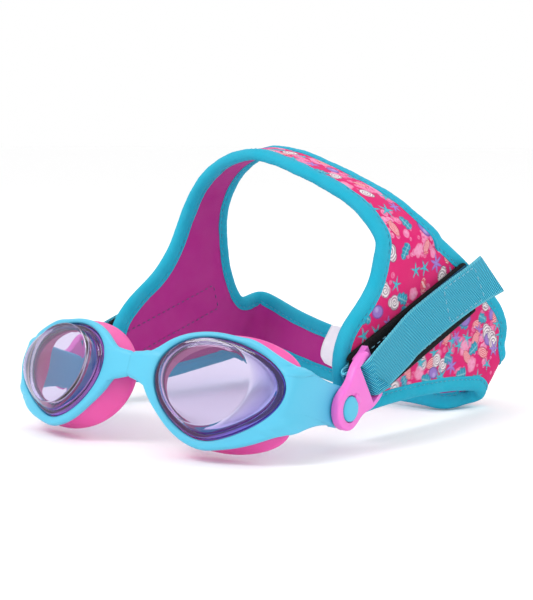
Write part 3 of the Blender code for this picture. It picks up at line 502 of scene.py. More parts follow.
def satin(name):
    """Woven satin ribbon, blank."""
    m = Mat(name)
    u, v, _ = m.uv()
    warp = m.math("MULTIPLY_ADD", m.math("SINE", m.math("MULTIPLY", v, 2 * math.pi / 0.28)), 0.5, 0.5)
    weft = m.math("MULTIPLY_ADD", m.math("SINE", m.math("MULTIPLY", u, 2 * math.pi / 0.5)), 0.5, 0.5)
    h = m.math("ADD", m.math("MULTIPLY", warp, 0.7), m.math("MULTIPLY", weft, 0.3))
    n = m.noise(m.obj(), 300.0, 2.0)
    m.set(Base_Color=m.mix(m.math("MULTIPLY", n, 0.6), lin(240, 241, 246), lin(214, 216, 228)), Roughness=m.range(h, 0, 1, 0.5, 0.38),
          Normal=m.bump(h, 0.3, 0.0001), Sheen_Weight=0.25)
    return m.m


def lens_mat(name):
    m = Mat(name)
    o = m.obj()
    streak = m.noise(o, 60.0, 2.0)
    col = m.mix(m.math("MULTIPLY", streak, 0.25), lin(208, 200, 226), lin(198, 189, 224))
    # painted glow and shade: the wall and rim colour come from the edge and glow attributes
    col = m.mix(m.attr("edge"), col, m.attr("glow"))
    micro = m.noise(o, 1400.0, 2.0)
    m.set(Base_Color=col, Roughness=m.range(micro, 0.3, 0.8, 0.012, 0.035), Normal=m.bump(m.noise(o, 45.0, 1.0), 0.03, 0.0003),
          IOR=1.5, Transmission_Weight=1.0, Coat_Weight=0.25, Coat_Roughness=0.02)
    return m.m


TEAL, TEAL_D = lin(22, 186, 216), lin(4, 160, 196)
M_BIND = jersey("binding_jersey", TEAL, TEAL_D, w=0.62, c=0.5, bump=0.5, sheen=0.08)
M_LINING = jersey("lining_jersey", lin(192, 40, 148), lin(172, 30, 130), w=0.5, c=0.42, bump=0.3, sheen=0.08)
M_PRINT = jersey("printed_jersey", lin(228, 26, 118), lin(214, 14, 104), w=0.48, c=0.42, bump=0.25, sheen=0.03, from_attr="print")
M_FOAM = foam("neoprene_foam")
M_FRAME = moulded("frame_rubber", lin(84, 188, 218), lin(70, 176, 212), rough=0.42, grain=0.10, sss=0.12)
M_GASKET = moulded("gasket_rubber", lin(232, 84, 166), lin(214, 62, 146), rough=0.45, grain=0.08, sss=0.3)
M_CLIP = moulded("clip_plastic", lin(240, 112, 198), lin(214, 106, 206), rough=0.36, grain=0.10, sss=0.25)
M_STUD = moulded("stud_plastic", lin(80, 188, 218), lin(64, 174, 210), rough=0.38, grain=0.08, sss=0.1)
M_LENS = lens_mat("lens_polycarbonate")
M_WEB = webbing("webbing_twill")
M_PAD = pile("hook_pad_pile", (0.004, 0.004, 0.005), (0.022, 0.022, 0.026))
M_HOOK = pile("hook_patch_hooks", lin(14, 74, 104), lin(34, 118, 150))
M_THREAD = thread("teal_thread", lin(60, 196, 224), lin(0, 104, 140))
M_THREAD_LT = thread("pale_thread", lin(150, 214, 232), lin(60, 140, 170))
M_THREAD_DK = thread("slate_thread", lin(78, 84, 140), lin(38, 28, 78))
M_LABEL = satin("label_satin")


# ================================================================ hard parts
def lens_xy(t, s=1.0):
    t = np.asarray(t, float)
    x = 23.0 * np.cos(t) + 1.8 * np.sin(2 * t) + 1.55 * np.cos(3 * t)
    z = 17.9 * np.sin(t) + 0.5 * np.cos(2 * t) - 1.0 * np.sin(2 * t) + 0.55 * np.sin(3 * t)
    return x * s, z * s


def window_xy(t, s=1.0):
    """Raised window: rounder than the rim and set towards the nose."""
    t = np.asarray(t, float)
    return -3.3 + 17.2 * s * np.cos(t) + 0.9 * s * np.sin(2 * t), 1.0 + 15.1 * s * np.sin(t)


def lens_point(side, x, y, z):
    c, s = math.cos(LENS_WRAP), math.sin(LENS_WRAP)
    x, y, z = np.broadcast_arrays(np.asarray(x, float), np.asarray(y, float), np.asarray(z, float))
    return np.stack([side * (LENS_X + x * c - y * s), x * s + y * c, z], -1)


def lens(side, name):
    t = 2 * np.pi * np.arange(144) / 144
    D, W = LENS_DOME, LENS_WALL
    # (blend: 0 window outline, 1 rim outline; scale; depth)
    prof = [(0, 0.12, -D - 0.42), (0, 0.40, -D - 0.36), (0, 0.70, -D - 0.18), (0, 0.90, -D + 0.04), (0, 0.965, -D + 0.14),
            (0, 0.99, -D + 0.24), (0.03, 1.0, -D + 0.42), (0.12, 1.0, -D + 0.66), (0.28, 1.0, -D + 1.05), (0.46, 1.0, -D + 1.52),
            (0.64, 1.0, -D + 2.10), (0.80, 1.0, -D + 2.80), (0.92, 1.0, -D + 3.55), (0.98, 1.0, -D + 4.20), (1, 0.905, -1.02),
            (1, 0.925, -0.92), (1, 0.955, -0.95), (1, 0.975, -0.78), (1, 0.99, -0.35), (1, 0.995, 0.4), (1, 0.995, 1.5),
            (1, 0.985, 1.6), (1, 0.90, 1.6), (1, 0.875, 0.9), (0.92, 0.97, 0.2), (0.80, 0.96, -0.8), (0.62, 0.95, -D + W + 1.9),
            (0.40, 0.95, -D + W + 1.25), (0.18, 0.94, -D + W + 0.75), (0, 0.93, -D + W + 0.42), (0, 0.90, -D + W + 0.30),
            (0, 0.80, -D + W + 0.12), (0, 0.40, -D + W - 0.15), (0, 0.12, -D + W - 0.22)]
    rr, edge, glow = [], [], []
    for b, s, y in prof:
        wx, wz = window_xy(t, s if b < 1 else 1.0)
        full = 4 * b * (1 - b) * (0.085 * np.clip(np.cos(t), 0, 1) ** 2) if b < 1 else 0.0
        rx, rz = lens_xy(t, 0.90 if b < 1 else s)
        rx, rz = rx * (1 + full), rz * (1 + full)
        k = b if b < 1 else 1.0
        rr.append(pitched(lens_point(side, wx * (1 - k) + rx * k, y, wz * (1 - k) + rz * k)))
        # painted glow: the wall and the rim take a deeper colour (glow) that stands for the thick tinted plastic and
        # the light gathered in it, bluest towards the temple; the top of the rim is painted darker as shade
        nose = 0.5 - 0.5 * np.cos(t)
        top = np.clip(np.sin(t + 0.25), 0, 1) ** 2
        ee = (0.04 + 0.9 * np.clip(b, 0, 1) ** 0.7) * (0.72 + 0.28 * np.abs(np.sin(t)) ** 1.4 + 0.1 * nose)
        if b >= 1:
            ee = ee * 0 + 0.92
        g = np.outer(nose, lin(138, 58, 166)) + np.outer(1 - nose, lin(66, 70, 206))
        # painted shade: the top of the rim darkened towards a deep violet
        g = g * (1 - 0.75 * top[:, None]) + np.outer(0.75 * top, lin(84, 34, 132))
        edge.append(np.repeat(np.clip(ee, 0, 1)[:, None], 3, 1))
        glow.append(g)
    ob = rings(name, rr, M_LENS, attrs={"edge": np.array(edge), "glow": np.array(glow)})
    return ob


def gasket(side, name):
    n = 144
    t = 2 * np.pi * np.arange(n) / n
    c, s = math.cos(GASKET_WRAP), math.sin(GASKET_WRAP)

    def back_rim(d, depth):
        x = 31.0 * np.cos(t) + 1.6 * np.cos(2 * t) - 7.5 * np.maximum(0.0, np.cos(t)) ** 8
        z = 20.8 * np.sin(t) + 1.1 * np.sin(2 * t) + 0.4
        r = np.hypot(x, z)
        x, z = x * (r - d) / r, z * (r - d) / r
        return np.stack([side * (GASKET_X + x * c), GASKET_BACK + x * s + depth, z], -1)

    def front_rim(sc, depth):
        x, z = lens_xy(t, sc - 0.10 * np.maximum(0.0, np.cos(t)) ** 4)
        return lens_point(side, x, depth, z)

    fo, bo = front_rim(1.05, 3.5), back_rim(0.0, 0.0)
    fi, bi = front_rim(0.915, 3.5), back_rim(GASKET_WALL + 1.2, 0.3)
    rows = [fo, fo * 0.85 + bo * 0.15, fo * 0.55 + bo * 0.45, fo * 0.25 + bo * 0.75, fo * 0.06 + bo * 0.94,
            back_rim(0.3, 1.1), back_rim(1.2, 1.7), back_rim(2.4, 1.5), bi, bi * 0.85 + fi * 0.15,
            bi * 0.6 + fi * 0.4, bi * 0.3 + fi * 0.7, fi, fi * 0.5 + fo * 0.5]
    rr = pitched(loop_spline(np.array(rows), 3))
    return rings(name, rr, M_GASKET, first=False, last=False, wrap=True)


def frame_outline():
    a = ARM_X
    rows = [(0.0, a, 42.5, 4.3), (3.5, a, 41.5, 8.0), (7, a, 38.5, 10.9), (11, a, 34.0, 11.6),
            (15, a, 28.0, 11.3), (20, a, 21.5, 11.2), (26, a - 0.5, 15.0, 11.6), (33, a - 1.8, 9.8, 12.4),
            (42, 57.2, 6.0, 13.6), (53, 51.4, 3.9, 16.5), (66, 45.0, 2.4, 19.0)]
    for deg, out in ((80, 2.6), (95, 2.6), (110, 2.7), (125, 3.0), (139, 3.4)):
        x, z = lens_xy(math.radians(deg))
        r = math.hypot(x, z)
        p = lens_point(1, x * (r + out) / r, 0.9, z * (r + out) / r)
        rows.append((deg, p[0], p[1], p[2]))
    rows += [(149, 12.2, -3.6, 12.6), (156, 8.4, -3.9, 9.8), (161, 4.0, -4.1, 8.5), (165, 0.0, -4.1, 8.2),
             (173, 0.0, -4.1, 4.2), (181, 0.0, -4.1, 0.0), (186, 3.8, -4.1, -0.4), (193, 7.6, -4.0, -2.2),
             (202, 9.9, -3.8, -6.4)]
    for deg, out in ((213, 3.2), (225, 3.3), (240, 3.4), (256, 3.5), (270, 3.6), (284, 3.6)):
        x, z = lens_xy(math.radians(deg))
        r = math.hypot(x, z)
        p = lens_point(1, x * (r + out) / r, 0.9, z * (r + out) / r)
        rows.append((deg, p[0], p[1], p[2]))
    rows += [(297, 46.6, 3.4, -18.9), (309, 52.6, 5.0, -16.4), (320, 57.8, 8.0, -12.9),
             (329, a - 1.6, 12.8, -10.0), (336, a - 0.4, 18.0, -6.9), (342, a, 24.0, -4.6), (347, a, 30.0, -3.2),
             (351, a, 35.0, -3.0), (355, a, 38.8, -2.1), (358, a, 41.6, 0.6)]
    return rows


def grid_normals(g, closed_u):
    du = np.roll(g, -1, 0) - np.roll(g, 1, 0) if closed_u else np.gradient(g, axis=0)
    dv = np.gradient(g, axis=1)
    return unit(np.cross(du, dv))


def frame_piece(name):
    rows = frame_outline()
    per = 12
    outer = loop_spline(np.array([r[1:] for r in rows]), per)
    ang = np.array([r[0] for r in rows] + [360.0])
    angs = np.concatenate([np.linspace(ang[i], ang[i + 1], per, endpoint=False) for i in range(len(rows))])
    n = len(outer)
    onmid = (outer[:, 0] < 0.35) & (angs > 164) & (angs < 182)
    outer[onmid, 0] = 0.0
    held = onmid | (angs < 12) | (angs > 346)
    for _ in range(60):
        soft = 0.25 * np.roll(outer, 1, 0) + 0.5 * outer + 0.25 * np.roll(outer, -1, 0)
        outer = np.where(held[:, None], outer, soft)
    t = np.radians(angs)
    x, z = lens_xy(t)
    r = np.hypot(x, z)
    k = (r + 0.3) / r
    p0 = lens_point(1, x * k, 1.0, z * k)
    long = np.linalg.norm(outer - p0, axis=1)
    kk = (r + 0.35 + 0.45 * long) / r
    d = lens_point(1, x * kk, 1.0, z * kk)
    p1 = 0.5 * (p0 + outer)
    w = np.clip((long - 6) / 3, 0, 1)[:, None]
    p1 = p1 * (1 - w) + d * w
    arm = np.clip((long - 10.5) / 2.5, 0, 1) * np.where(angs < 180, np.clip((66 - angs) / 12, 0, 1), np.clip((angs - 294) / 12, 0, 1))
    pa = np.stack([np.full(n, ARM_X + 0.3), p0[:, 1] + 1.2, 0.5 * (p0[:, 2] + outer[:, 2])], -1)
    p1 = p1 * (1 - arm[:, None]) + pa * arm[:, None]
    ins = np.array((0.0, 0.25, 0.7))                       # rounding next to the lens
    edg = np.array((1.5, 1.05, 0.7, 0.42, 0.2, 0.06, 0.0))  # rounding of the outer edge
    L = np.maximum(long, 3.0)[:, None]
    mid = np.linspace(0, 1, 10)[1:-1][None] * (1 - 0.7 / L - 1.5 / L) + 0.7 / L
    vs = np.concatenate([ins[None] / L, mid, 1 - edg[None] / L], 1)
    v = vs[..., None]
    g = (1 - v) ** 2 * p0[:, None] + 2 * v * (1 - v) * p1[:, None] + v * v * outer[:, None]
    rnd = lambda e, R: 1.65 * (1 - np.clip(1 - e / R, 0, 1) ** 2.3) ** (1 / 2.3)
    a0, a1 = outer, np.roll(outer, -1, 0)
    real = ~(onmid & np.roll(onmid, -1))
    a0, a1 = a0[real], a1[real]
    ab = a1 - a0
    q = g.reshape(-1, 1, 3) - a0[None]
    tt = np.clip((q * ab).sum(-1) / np.maximum((ab * ab).sum(-1), 1e-9), 0, 1)
    away = np.linalg.norm(q - tt[..., None] * ab, axis=-1).min(1).reshape(g.shape[:2])
    half = np.maximum(rnd(away, 1.5), 0.02)
    half[:, 0], half[:, 1], half[:, 2] = np.minimum(half[:, 0], 1.25), np.minimum(half[:, 1], 1.52), np.minimum(half[:, 2], 1.63)
    nrm = grid_normals(g, True)
    nrm = nrm * np.sign(nrm[:, :, 0].sum() - nrm[:, :, 1].sum())
    flat = unit(lens_point(1, 0, -1, 0) - lens_point(1, 0, 0, 0))
    nrm[:, :2] = flat
    nrm[:, 2] = unit(nrm[:, 2] + flat)
    mids = np.zeros(n, bool) | onmid
    nrm[mids, -1, 0] = 0.0
    nrm[mids, -1] = unit(nrm[mids, -1])
    nv = g.shape[1]
    top, bot = g + nrm * half[..., None], g - nrm * half[..., None]
    f, ci, ck = quads(n, nv, True, False)
    off = n * nv
    i = np.arange(n)
    j = (i + 1) % n
    faces = np.concatenate([f, (f + off)[:, ::-1], np.stack([i * nv, i * nv + off, j * nv + off, j * nv], -1),
                            np.stack([i * nv + nv - 1, j * nv + nv - 1, j * nv + nv - 1 + off, i * nv + nv - 1 + off], -1)])
    verts = np.concatenate([top.reshape(-1, 3), bot.reshape(-1, 3)])
    verts[np.abs(verts[:, 0]) < 0.02, 0] = 0.0
    keep = ~(np.abs(verts[faces][:, :, 0]) < 1e-6).all(1)
    faces = faces[keep]
    m = len(verts)
    both = np.concatenate([verts, verts * np.array((-1, 1, 1))])
    allf = np.concatenate([faces, (faces + m)[:, ::-1]])
    ob = build(name, pitched(both), allf, M_FRAME)
    bm = bmesh.new()
    bm.from_mesh(ob.data)
    bmesh.ops.remove_doubles(bm, verts=bm.verts, dist=2e-6)
    loose = [q for q in bm.verts if not q.link_faces]
    bmesh.ops.delete(bm, geom=loose, context="VERTS")
    bmesh.ops.recalc_face_normals(bm, faces=bm.faces)
    if bm.calc_volume(signed=True) < 0:
        bmesh.ops.reverse_faces(bm, faces=bm.faces)
    bm.to_mesh(ob.data)
    bm.free()
    return ob


def clip_point(e1, e2, x, side):
    c, s = math.cos(SIDE[side]["tilt"]), math.sin(SIDE[side]["tilt"])
    return np.array((side * x, STUD_Y + e1 * c - e2 * s, STUD_Z + e1 * s + e2 * c))


def cut(ob, tool):
    md = ob.modifiers.new("cut", "BOOLEAN")
    md.object = tool
    md.operation = "DIFFERENCE"
    md.solver = "EXACT"
    dg = bpy.context.evaluated_depsgraph_get()
    me = bpy.data.meshes.new_from_object(ob.evaluated_get(dg))
    old = ob.data
    ob.modifiers.clear()
    ob.data = me
    bpy.data.meshes.remove(old)
    bpy.data.objects.remove(tool, do_unlink=True)


def block(pts8, mat):
    f = [[0, 1, 2, 3], [7, 6, 5, 4], [0, 4, 5, 1], [1, 5, 6, 2], [2, 6, 7, 3], [3, 7, 4, 0]]
    return outward(build("tool", pts8, f, mat, smooth=False))


def clip(side, name):
    half = [(-7.7, 0.0), (-7.2, 2.8), (-5.4, 5.5), (-2.6, 7.2), (0.6, 7.6), (3.6, 7.5), (6.4, 7.9), (9.0, 9.0),
            (11.4, 9.9), (14.0, 10.3), (17.0, 10.4), (19.2, 10.0), (20.2, 8.6), (20.3, 5.0)]
    pts = half + [(20.3, 0.0)] + [(a, -b) for a, b in reversed(half[1:])]
    pts = loop_spline(np.array(pts), 5)
    n = len(pts)
    tan = unit(np.roll(pts, -1, 0) - np.roll(pts, 1, 0))
    nor = np.stack([tan[:, 1], -tan[:, 0]], -1)

    def layer(x, inset, drop=None):
        p = pts + nor * inset
        xx = np.full(n, x)
        if drop is not None:
            xx = xx - drop(p)
        return np.array([clip_point(a, b, q, side) for (a, b), q in zip(p, xx)])

    H = CLIP_X1 - CLIP_X0
    lay = [(CLIP_X0, 0.62), (CLIP_X0 + 0.08, 0.36), (CLIP_X0 + 0.28, 0.12), (CLIP_X0 + 0.62, 0.0), (CLIP_X0 + H - 0.75, 0.0),
           (CLIP_X0 + H - 0.36, 0.10), (CLIP_X0 + H - 0.12, 0.34), (CLIP_X0 + H, 0.75)]
    ob = rings(name, [layer(x, i) for x, i in lay], M_CLIP)

    def slab(e0, e1, w, x0, x1):
        return block([clip_point(a, b, x, side) for x in (x0, x1) for a, b in ((e0, -w), (e1, -w), (e1, w), (e0, w))], M_CLIP)

    def bore(r, x0, x1, m=56):
        a = 2 * np.pi * np.arange(m) / m
        rr = [np.stack([np.full(m, side * x), STUD_Y + r * np.cos(a), STUD_Z + r * np.sin(a)], -1) for x in (x0, x1)]
        return rings("tool", rr, M_CLIP, smooth=False)

    cut(ob, slab(SLOT_0, SLOT_1, SLOT_HALF, CLIP_X0 - 2, CLIP_X1 + 2))
    cut(ob, slab(SLOT_1 - 0.2, 24.0, SLOT_HALF, CLIP_X1 - 0.7, CLIP_X1 + 2))
    cut(ob, slab(SLOT_1 - 0.2, 24.0, SLOT_HALF, CLIP_X0 - 2, CLIP_X0 + 0.5))
    cut(ob, bore(PEG_R + 0.3, CLIP_X0 - 2, CLIP_X1 + 2))
    cut(ob, bore(STUD_R + 0.35, CLIP_X1 - 1.3, CLIP_X1 + 2))
    ob.data.set_sharp_from_angle(angle=math.radians(40))
    bv = ob.modifiers.new("round", "BEVEL")
    bv.width, bv.segments, bv.limit_method, bv.angle_limit = 0.00022, 2, "ANGLE", math.radians(40)
    return ob


def tooth(side, name):
    """Small catch of the clip standing against the button."""
    a = 2 * np.pi * np.arange(28) / 28
    rr = []
    for x, r in ((CLIP_X1 - 0.35, 1.75), (CLIP_X1 + 0.35, 1.7), (CLIP_X1 + 0.75, 1.5), (CLIP_X1 + 0.98, 1.1), (CLIP_X1 + 1.06, 0.5)):
        rr.append([clip_point(5.1 + r * 0.8 * np.cos(q), 0.3 + r * 1.25 * np.sin(q), x, side) for q in a])
    return rings(name, rr, M_CLIP)


def stud(side, name):
    prof = [(ARM_X + ARM_T / 2 + 0.3, PEG_R), (CLIP_X1 - 1.15, PEG_R), (CLIP_X1 - 1.0, STUD_R - 0.5), (CLIP_X1 - 0.8, STUD_R - 0.05),
            (CLIP_X1 - 0.4, STUD_R), (CLIP_X1 + 0.05, STUD_R), (CLIP_X1 + 0.40, STUD_R - 0.18), (CLIP_X1 + 0.66, STUD_R - 0.55),
            (CLIP_X1 + 0.80, STUD_R - 1.1), (CLIP_X1 + 0.86, STUD_R - 1.9), (CLIP_X1 + 0.84, 0.9)]
    a = 2 * np.pi * np.arange(72) / 72
    rr = [np.stack([np.full(72, side * x), STUD_Y + r * np.cos(a), STUD_Z + r * np.sin(a)], -1) for x, r in prof]
    return rings(name, rr, M_STUD)


# ================================================================ head strap
def panel_x(side, y):
    return (58.2 if side > 0 else -59.1) + SLOPE * (y - 43.0)


def strap_rungs():
    """Outer edge point and opening edge point of each station, once round."""
    r = []

    def both(o, h):
        r.append((o, h))

    # crown band, from its top down to the right panel
    both((-3, 74, 78.2), (-8, 102.0, 79.4))
    both((9, 71, 76.2), (5.5, 99.8, 77.3))
    both((20, 69, 73), (19, 97, 73.4))
    both((31, 67, 69.3), (32.6, 94.5, 68.8))
    both((41, 66, 65), (44.4, 93, 64.2))
    both((49.5, 65.5, 60), (53.4, 93.4, 59.4))
    both((55.5, 65, 54.5), (59.4, 95.6, 54.4))
    # right panel: flat from here to the fold at the back
    pr = [((64.5, 48), (100, 49.3)), ((63.5, 41.5), (104.5, 46.3)), ((61, 34), (109, 43.6)), ((56, 28), (113.2, 41.1)),
          ((50, 23), (117.2, 38.7)), ((44.8, 18), (121, 36.3)), ((41.3, 12), (124.8, 33.8)), ((40, 5.5), (128.4, 31.2)),
          ((40.3, -1.5), (131.8, 28.6)), ((42.3, -8), (135.7, 25.9)), ((46.5, -12.8), (139.2, 23.2)),
          ((54, -14.8), (142.5, 20.5)), ((63, -14.2), (145.4, 17.8)), ((72, -13.7), (147.7, 15.1)),
          ((82, -13.5), (149.4, 12.5)), ((92, -13.5), (150.5, 10.0)), ((102, -13.8), (151.0, 7.6)),
          ((112, -14.4), (151.1, 5.4)), ((121, -15.4), (150.8, 3.4)), ((126.5, -16.1), (150.2, 1.6))]
    for (oy, oz), (hy, hz) in pr:
        both((panel_x(1, oy), oy, oz), (panel_x(1, hy), hy, hz))
    # fold at the back right corner, then the back band
    both((panel_x(1, 129.8), 129.8, -16.7), (panel_x(1, 149.5), 149.5, 0.0))
    both((66.9, 131.6, -17.8), (68.6, 150.4, -1.8))
    both((66.2, 134.0, -19.3), (67.3, 152.4, -3.1))
    both((64.6, 135.9, -21.0), (64.8, 153.8, -4.2))
    both((62.2, 135.4, -22.6), (61.2, 153.4, -5.0))
    both((60.2, 132.2, -23.7), (57.2, 151.0, -5.4))
    both((59.2, 128.2, -24.1), (53.0, 147.7, -5.4))
    both((57.6, 124.0, -23.9), (48.4, 144.3, -5.1))
    both((55.2, 121.0, -23.3), (43.0, 141.0, -4.4))
    both((51.0, 119.6, -22.8), (37.4, 138.2, -3.2))
    both((43.0, 119.6, -22.4), (30.0, 135.4, -1.7))
    both((33.0, 120.6, -22.3), (22.0, 133.6, -0.2))
    both((22.5, 123.0, -22.0), (13.0, 132.3, 1.4))
    both((12.0, 126.0, -21.4), (3.0, 132.0, 3.1))
    both((1.5, 129.0, -20.4), (-7.0, 133.0, 5.0))
    both((-9.0, 131.5, -19.0), (-17.0, 135.0, 7.2))
    both((-19.0, 133.6, -17.4), (-27.0, 137.6, 9.6))
    both((-29.0, 135.4, -15.6), (-35.0, 140.2, 11.9))
    both((-37.0, 136.4, -14.2), (-40.6, 141.8, 13.5))
    both((-42.8, 136.6, -13.2), (-44.2, 142.4, 14.6))
    both((-46.9, 135.2, -12.6), (-47.2, 141.6, 15.3))
    both((-49.2, 132.2, -12.3), (-49.1, 139.4, 15.3))
    # left panel: flat
    pl = [((128, -12.6), (136.4, 14.7)), ((121, -13.3), (134.2, 14.2)), ((112, -14.4), (132.3, 13.8)),
          ((103, -15.3), (130.6, 13.7)), ((94, -16.1), (129.1, 14.2)), ((85, -16.7), (127.8, 15.2)),
          ((76, -17.1), (126.7, 16.6)), ((67.5, -17.0), (125.7, 18.2)), ((60, -15.4), (124.8, 19.9)),
          ((55, -11.6), (123.9, 21.7)), ((52.3, -5.8), (123.1, 23.6)), ((51.4, 1), (122.3, 25.7)),
          ((52.4, 7.5), (121.6, 27.9)), ((56, 13.2), (121, 30.2)), ((61.5, 18.6), (120.5, 32.7)),
          ((67.5, 23), (120.1, 35.3)), ((73.5, 26.9), (119.8, 38)), ((78.8, 31.4), (119.6, 40.8)),
          ((83.5, 36.8), (119.4, 43.7)), ((87.3, 42.4), (119.2, 46.8))]
    for (oy, oz), (hy, hz) in pl:
        both((panel_x(-1, oy), oy, oz), (panel_x(-1, hy), hy, hz))
    # crown band, up the left side
    both((-53.4, 89.6, 48.6), (-50.8, 118.8, 51.0))
    both((-50.6, 90, 54.8), (-48.6, 117.6, 56.4))
    both((-46.6, 89.2, 60.8), (-44.8, 115.6, 62.0))
    both((-41.0, 87.5, 66.4), (-39.6, 113.2, 67.4))
    both((-33.8, 85.0, 71.0), (-33.2, 110.4, 72.2))
    both((-24.8, 81.6, 74.8), (-25.8, 107.4, 76.2))
    both((-14.3, 77.8, 77.2), (-17.2, 104.6, 78.6))
    return r


RUNGS = np.array(strap_rungs(), float)
EDGE = loop_spline(RUNGS, 30)
for _ in range(140):                 # fair the sewn edges
    EDGE = 0.25 * np.roll(EDGE, 1, 0) + 0.5 * EDGE + 0.25 * np.roll(EDGE, -1, 0)
MID = EDGE.mean(1)
step = np.linalg.norm(np.roll(MID, -1, 0) - MID, axis=1)
arc = np.concatenate([[0], np.cumsum(step)])
LOOP = arc[-1]


def even(n):
    """Stations at even steps round the loop."""
    s = np.linspace(0, LOOP, n, endpoint=False)
    closed = np.concatenate([EDGE, EDGE[:1]])
    out = np.empty((n, 2, 3))
    for a in range(2):
        for q in range(3):
            out[:, a, q] = np.interp(s, arc, closed[:, a, q])
    return out, np.concatenate([s, [LOOP]])


def soften(a, k):
    """Short periodic moving average."""
    for _ in range(k):
        a = 0.25 * np.roll(a, 1, 0) + 0.5 * a + 0.25 * np.roll(a, -1, 0)
    return a


def frames(e):
    o, h = e[:, 0], e[:, 1]
    to = unit(np.roll(o, -1, 0) - np.roll(o, 1, 0))
    th = unit(np.roll(h, -1, 0) - np.roll(h, 1, 0))
    rung = unit(h - o)
    no, nh = unit(np.cross(rung, to)), unit(np.cross(rung, th))
    out = (o + h) / 2 - np.array((5.0, 95.0, 0.0))
    if np.sum(no * out) < 0:
        no = -no
    if np.sum(nh * out) < 0:
        nh = -nh
    no, nh = unit(soften(no, 10)), unit(soften(nh, 10))
    io, ih = unit(np.cross(no, to)), unit(np.cross(nh, th))
    if np.sum(io * rung) < 0:
        io = -io
    if np.sum(ih * rung) > 0:
        ih = -ih
    return no, nh, io, ih


def strap_grid(n, cols, inset):
    e, s = even(n)
    no, nh, io, ih = frames(e)
    a = e[:, 0] + io * inset
    b = e[:, 1] + ih * inset
    v = np.linspace(0, 1, cols)[None, :, None]
    g = a[:, None] * (1 - v) + b[:, None] * v
    nn = unit(no[:, None] * (1 - v) + nh[:, None] * v)
    wide = np.linalg.norm(b - a, axis=1)
    vv = wide[:, None] * (np.linspace(0, 1, cols)[None] - 0.5)
    vv = np.vstack([vv, vv[:1]])
    dist = np.minimum(vv[:-1] + wide[:, None] / 2, wide[:, None] / 2 - vv[:-1])   # from the nearer long edge
    return g, nn, s, vv, dist


def ripple(s, vv, seed):
    """Slow unevenness of sewn foam, +-1."""
    w = 2 * np.pi / LOOP
    s = s[:-1, None]
    v = vv[:-1]
    return (np.sin(s * w * 17 + seed + v * 0.11) * 0.5 + np.sin(s * w * 31 + 2.1 * seed - v * 0.17) * 0.3
            + np.sin(s * w * 53 + 0.7 * seed + v * 0.23) * 0.2)


# ---- print painting --------------------------------------------------------
class Paint:
    def __init__(self, pts, nrm, base):
        self.p = pts.reshape(-1, 3)
        self.n = nrm.reshape(-1, 3)
        self.c = np.tile(np.array(base, float), (len(self.p), 1))

    def local(self, centre, ax, ay, nz, reach):
        d = self.p - centre
        near = np.nonzero((np.abs(d) < reach).all(1))[0]
        d = d[near]
        ok = (np.abs(d @ nz) < 5.0) & (self.n[near] @ nz > 0.2)
        near, d = near[ok], d[ok]
        return near, d @ ax, d @ ay

    def lay(self, idx, alpha, col):
        a = np.clip(alpha, 0, 1)[:, None]
        self.c[idx] = self.c[idx] * (1 - a) + np.array(col) * a


def aa(d, soft):
    """1 inside (d<0), 0 outside, over a soft edge."""
    return np.clip(0.5 - d / soft, 0, 1)


INK = lin(92, 60, 96)
CREAM, CREAM_D = lin(250, 240, 244), lin(236, 196, 214)
CORAL, CORAL_L = lin(232, 84, 116), lin(252, 206, 206)
SEA, SEA_L, SEA_D = lin(38, 150, 182), lin(120, 210, 222), lin(14, 104, 140)
LILAC, LILAC_D = lin(158, 124, 206), lin(104, 74, 160)
BUB, BUB_L = lin(246, 134, 188), lin(254, 196, 222)


def m_spiral(P, i, x, y):
    r = np.hypot(x, y)
    th = np.arctan2(y, x)
    lip = np.hypot(x - 0.45, y + 0.55) - 0.52
    body = np.minimum(r - 0.86, lip)
    P.lay(i, aa(body - 0.10, 0.12), INK)
    P.lay(i, aa(body, 0.12), CREAM)
    P.lay(i, aa(body, 0.12) * np.clip(0.6 * (-x - y), 0, 0.5), CREAM_D)
    turn = r / 0.36 - th / (2 * np.pi)
    arm = np.abs((turn % 1.0) - 0.5) * 0.36
    P.lay(i, aa(0.5 * 0.36 - arm - 0.055, 0.08) * (body < -0.06) * (r > 0.08), INK)


def m_stripe(P, i, x, y):
    """Ribbed shell, wide end at +x."""
    half = 0.62 * np.sqrt(np.clip(1 - ((x + 0.05) / 0.95) ** 2, 0, 1)) * (1 + 0.25 * x)
    d = np.abs(y) - half
    tail = np.maximum(np.abs(x - 0.98) - 0.14, np.abs(y) - 0.5)
    d = np.minimum(d, tail)
    d = np.where(np.abs(x) > 1.15, 1.0, d)
    P.lay(i, aa(d - 0.07, 0.12), lin(150, 40, 84))
    P.lay(i, aa(d, 0.1), CORAL)
    fan = y / np.maximum(half, 0.12)
    rib = np.abs(((fan * 2.6 + 0.5) % 1.0) - 0.5)
    P.lay(i, aa(rib - 0.21, 0.12) * aa(d + 0.05, 0.1), CORAL_L)


def m_conch(P, i, x, y):
    wob = 0.10 * np.cos(9 * x)
    half = 0.60 * np.sqrt(np.clip(1 - (x / 1.0) ** 2, 0, 1)) * (1 - 0.35 * x) + wob * (np.abs(x) < 0.9)
    d = np.where(np.abs(x) > 1.0, 1.0, np.abs(y) - half)
    P.lay(i, aa(d - 0.07, 0.12), SEA_D)
    P.lay(i, aa(d, 0.1), SEA)
    band = np.abs(((x * 2.2 + 0.35 * y + 0.5) % 1.0) - 0.5)
    P.lay(i, aa(band - 0.11, 0.1) * aa(d + 0.10, 0.1) * 0.7, SEA_L)
    P.lay(i, aa(np.abs(y - 0.12) - 0.07, 0.12) * aa(d + 0.2, 0.1) * 0.6, lin(176, 226, 226))


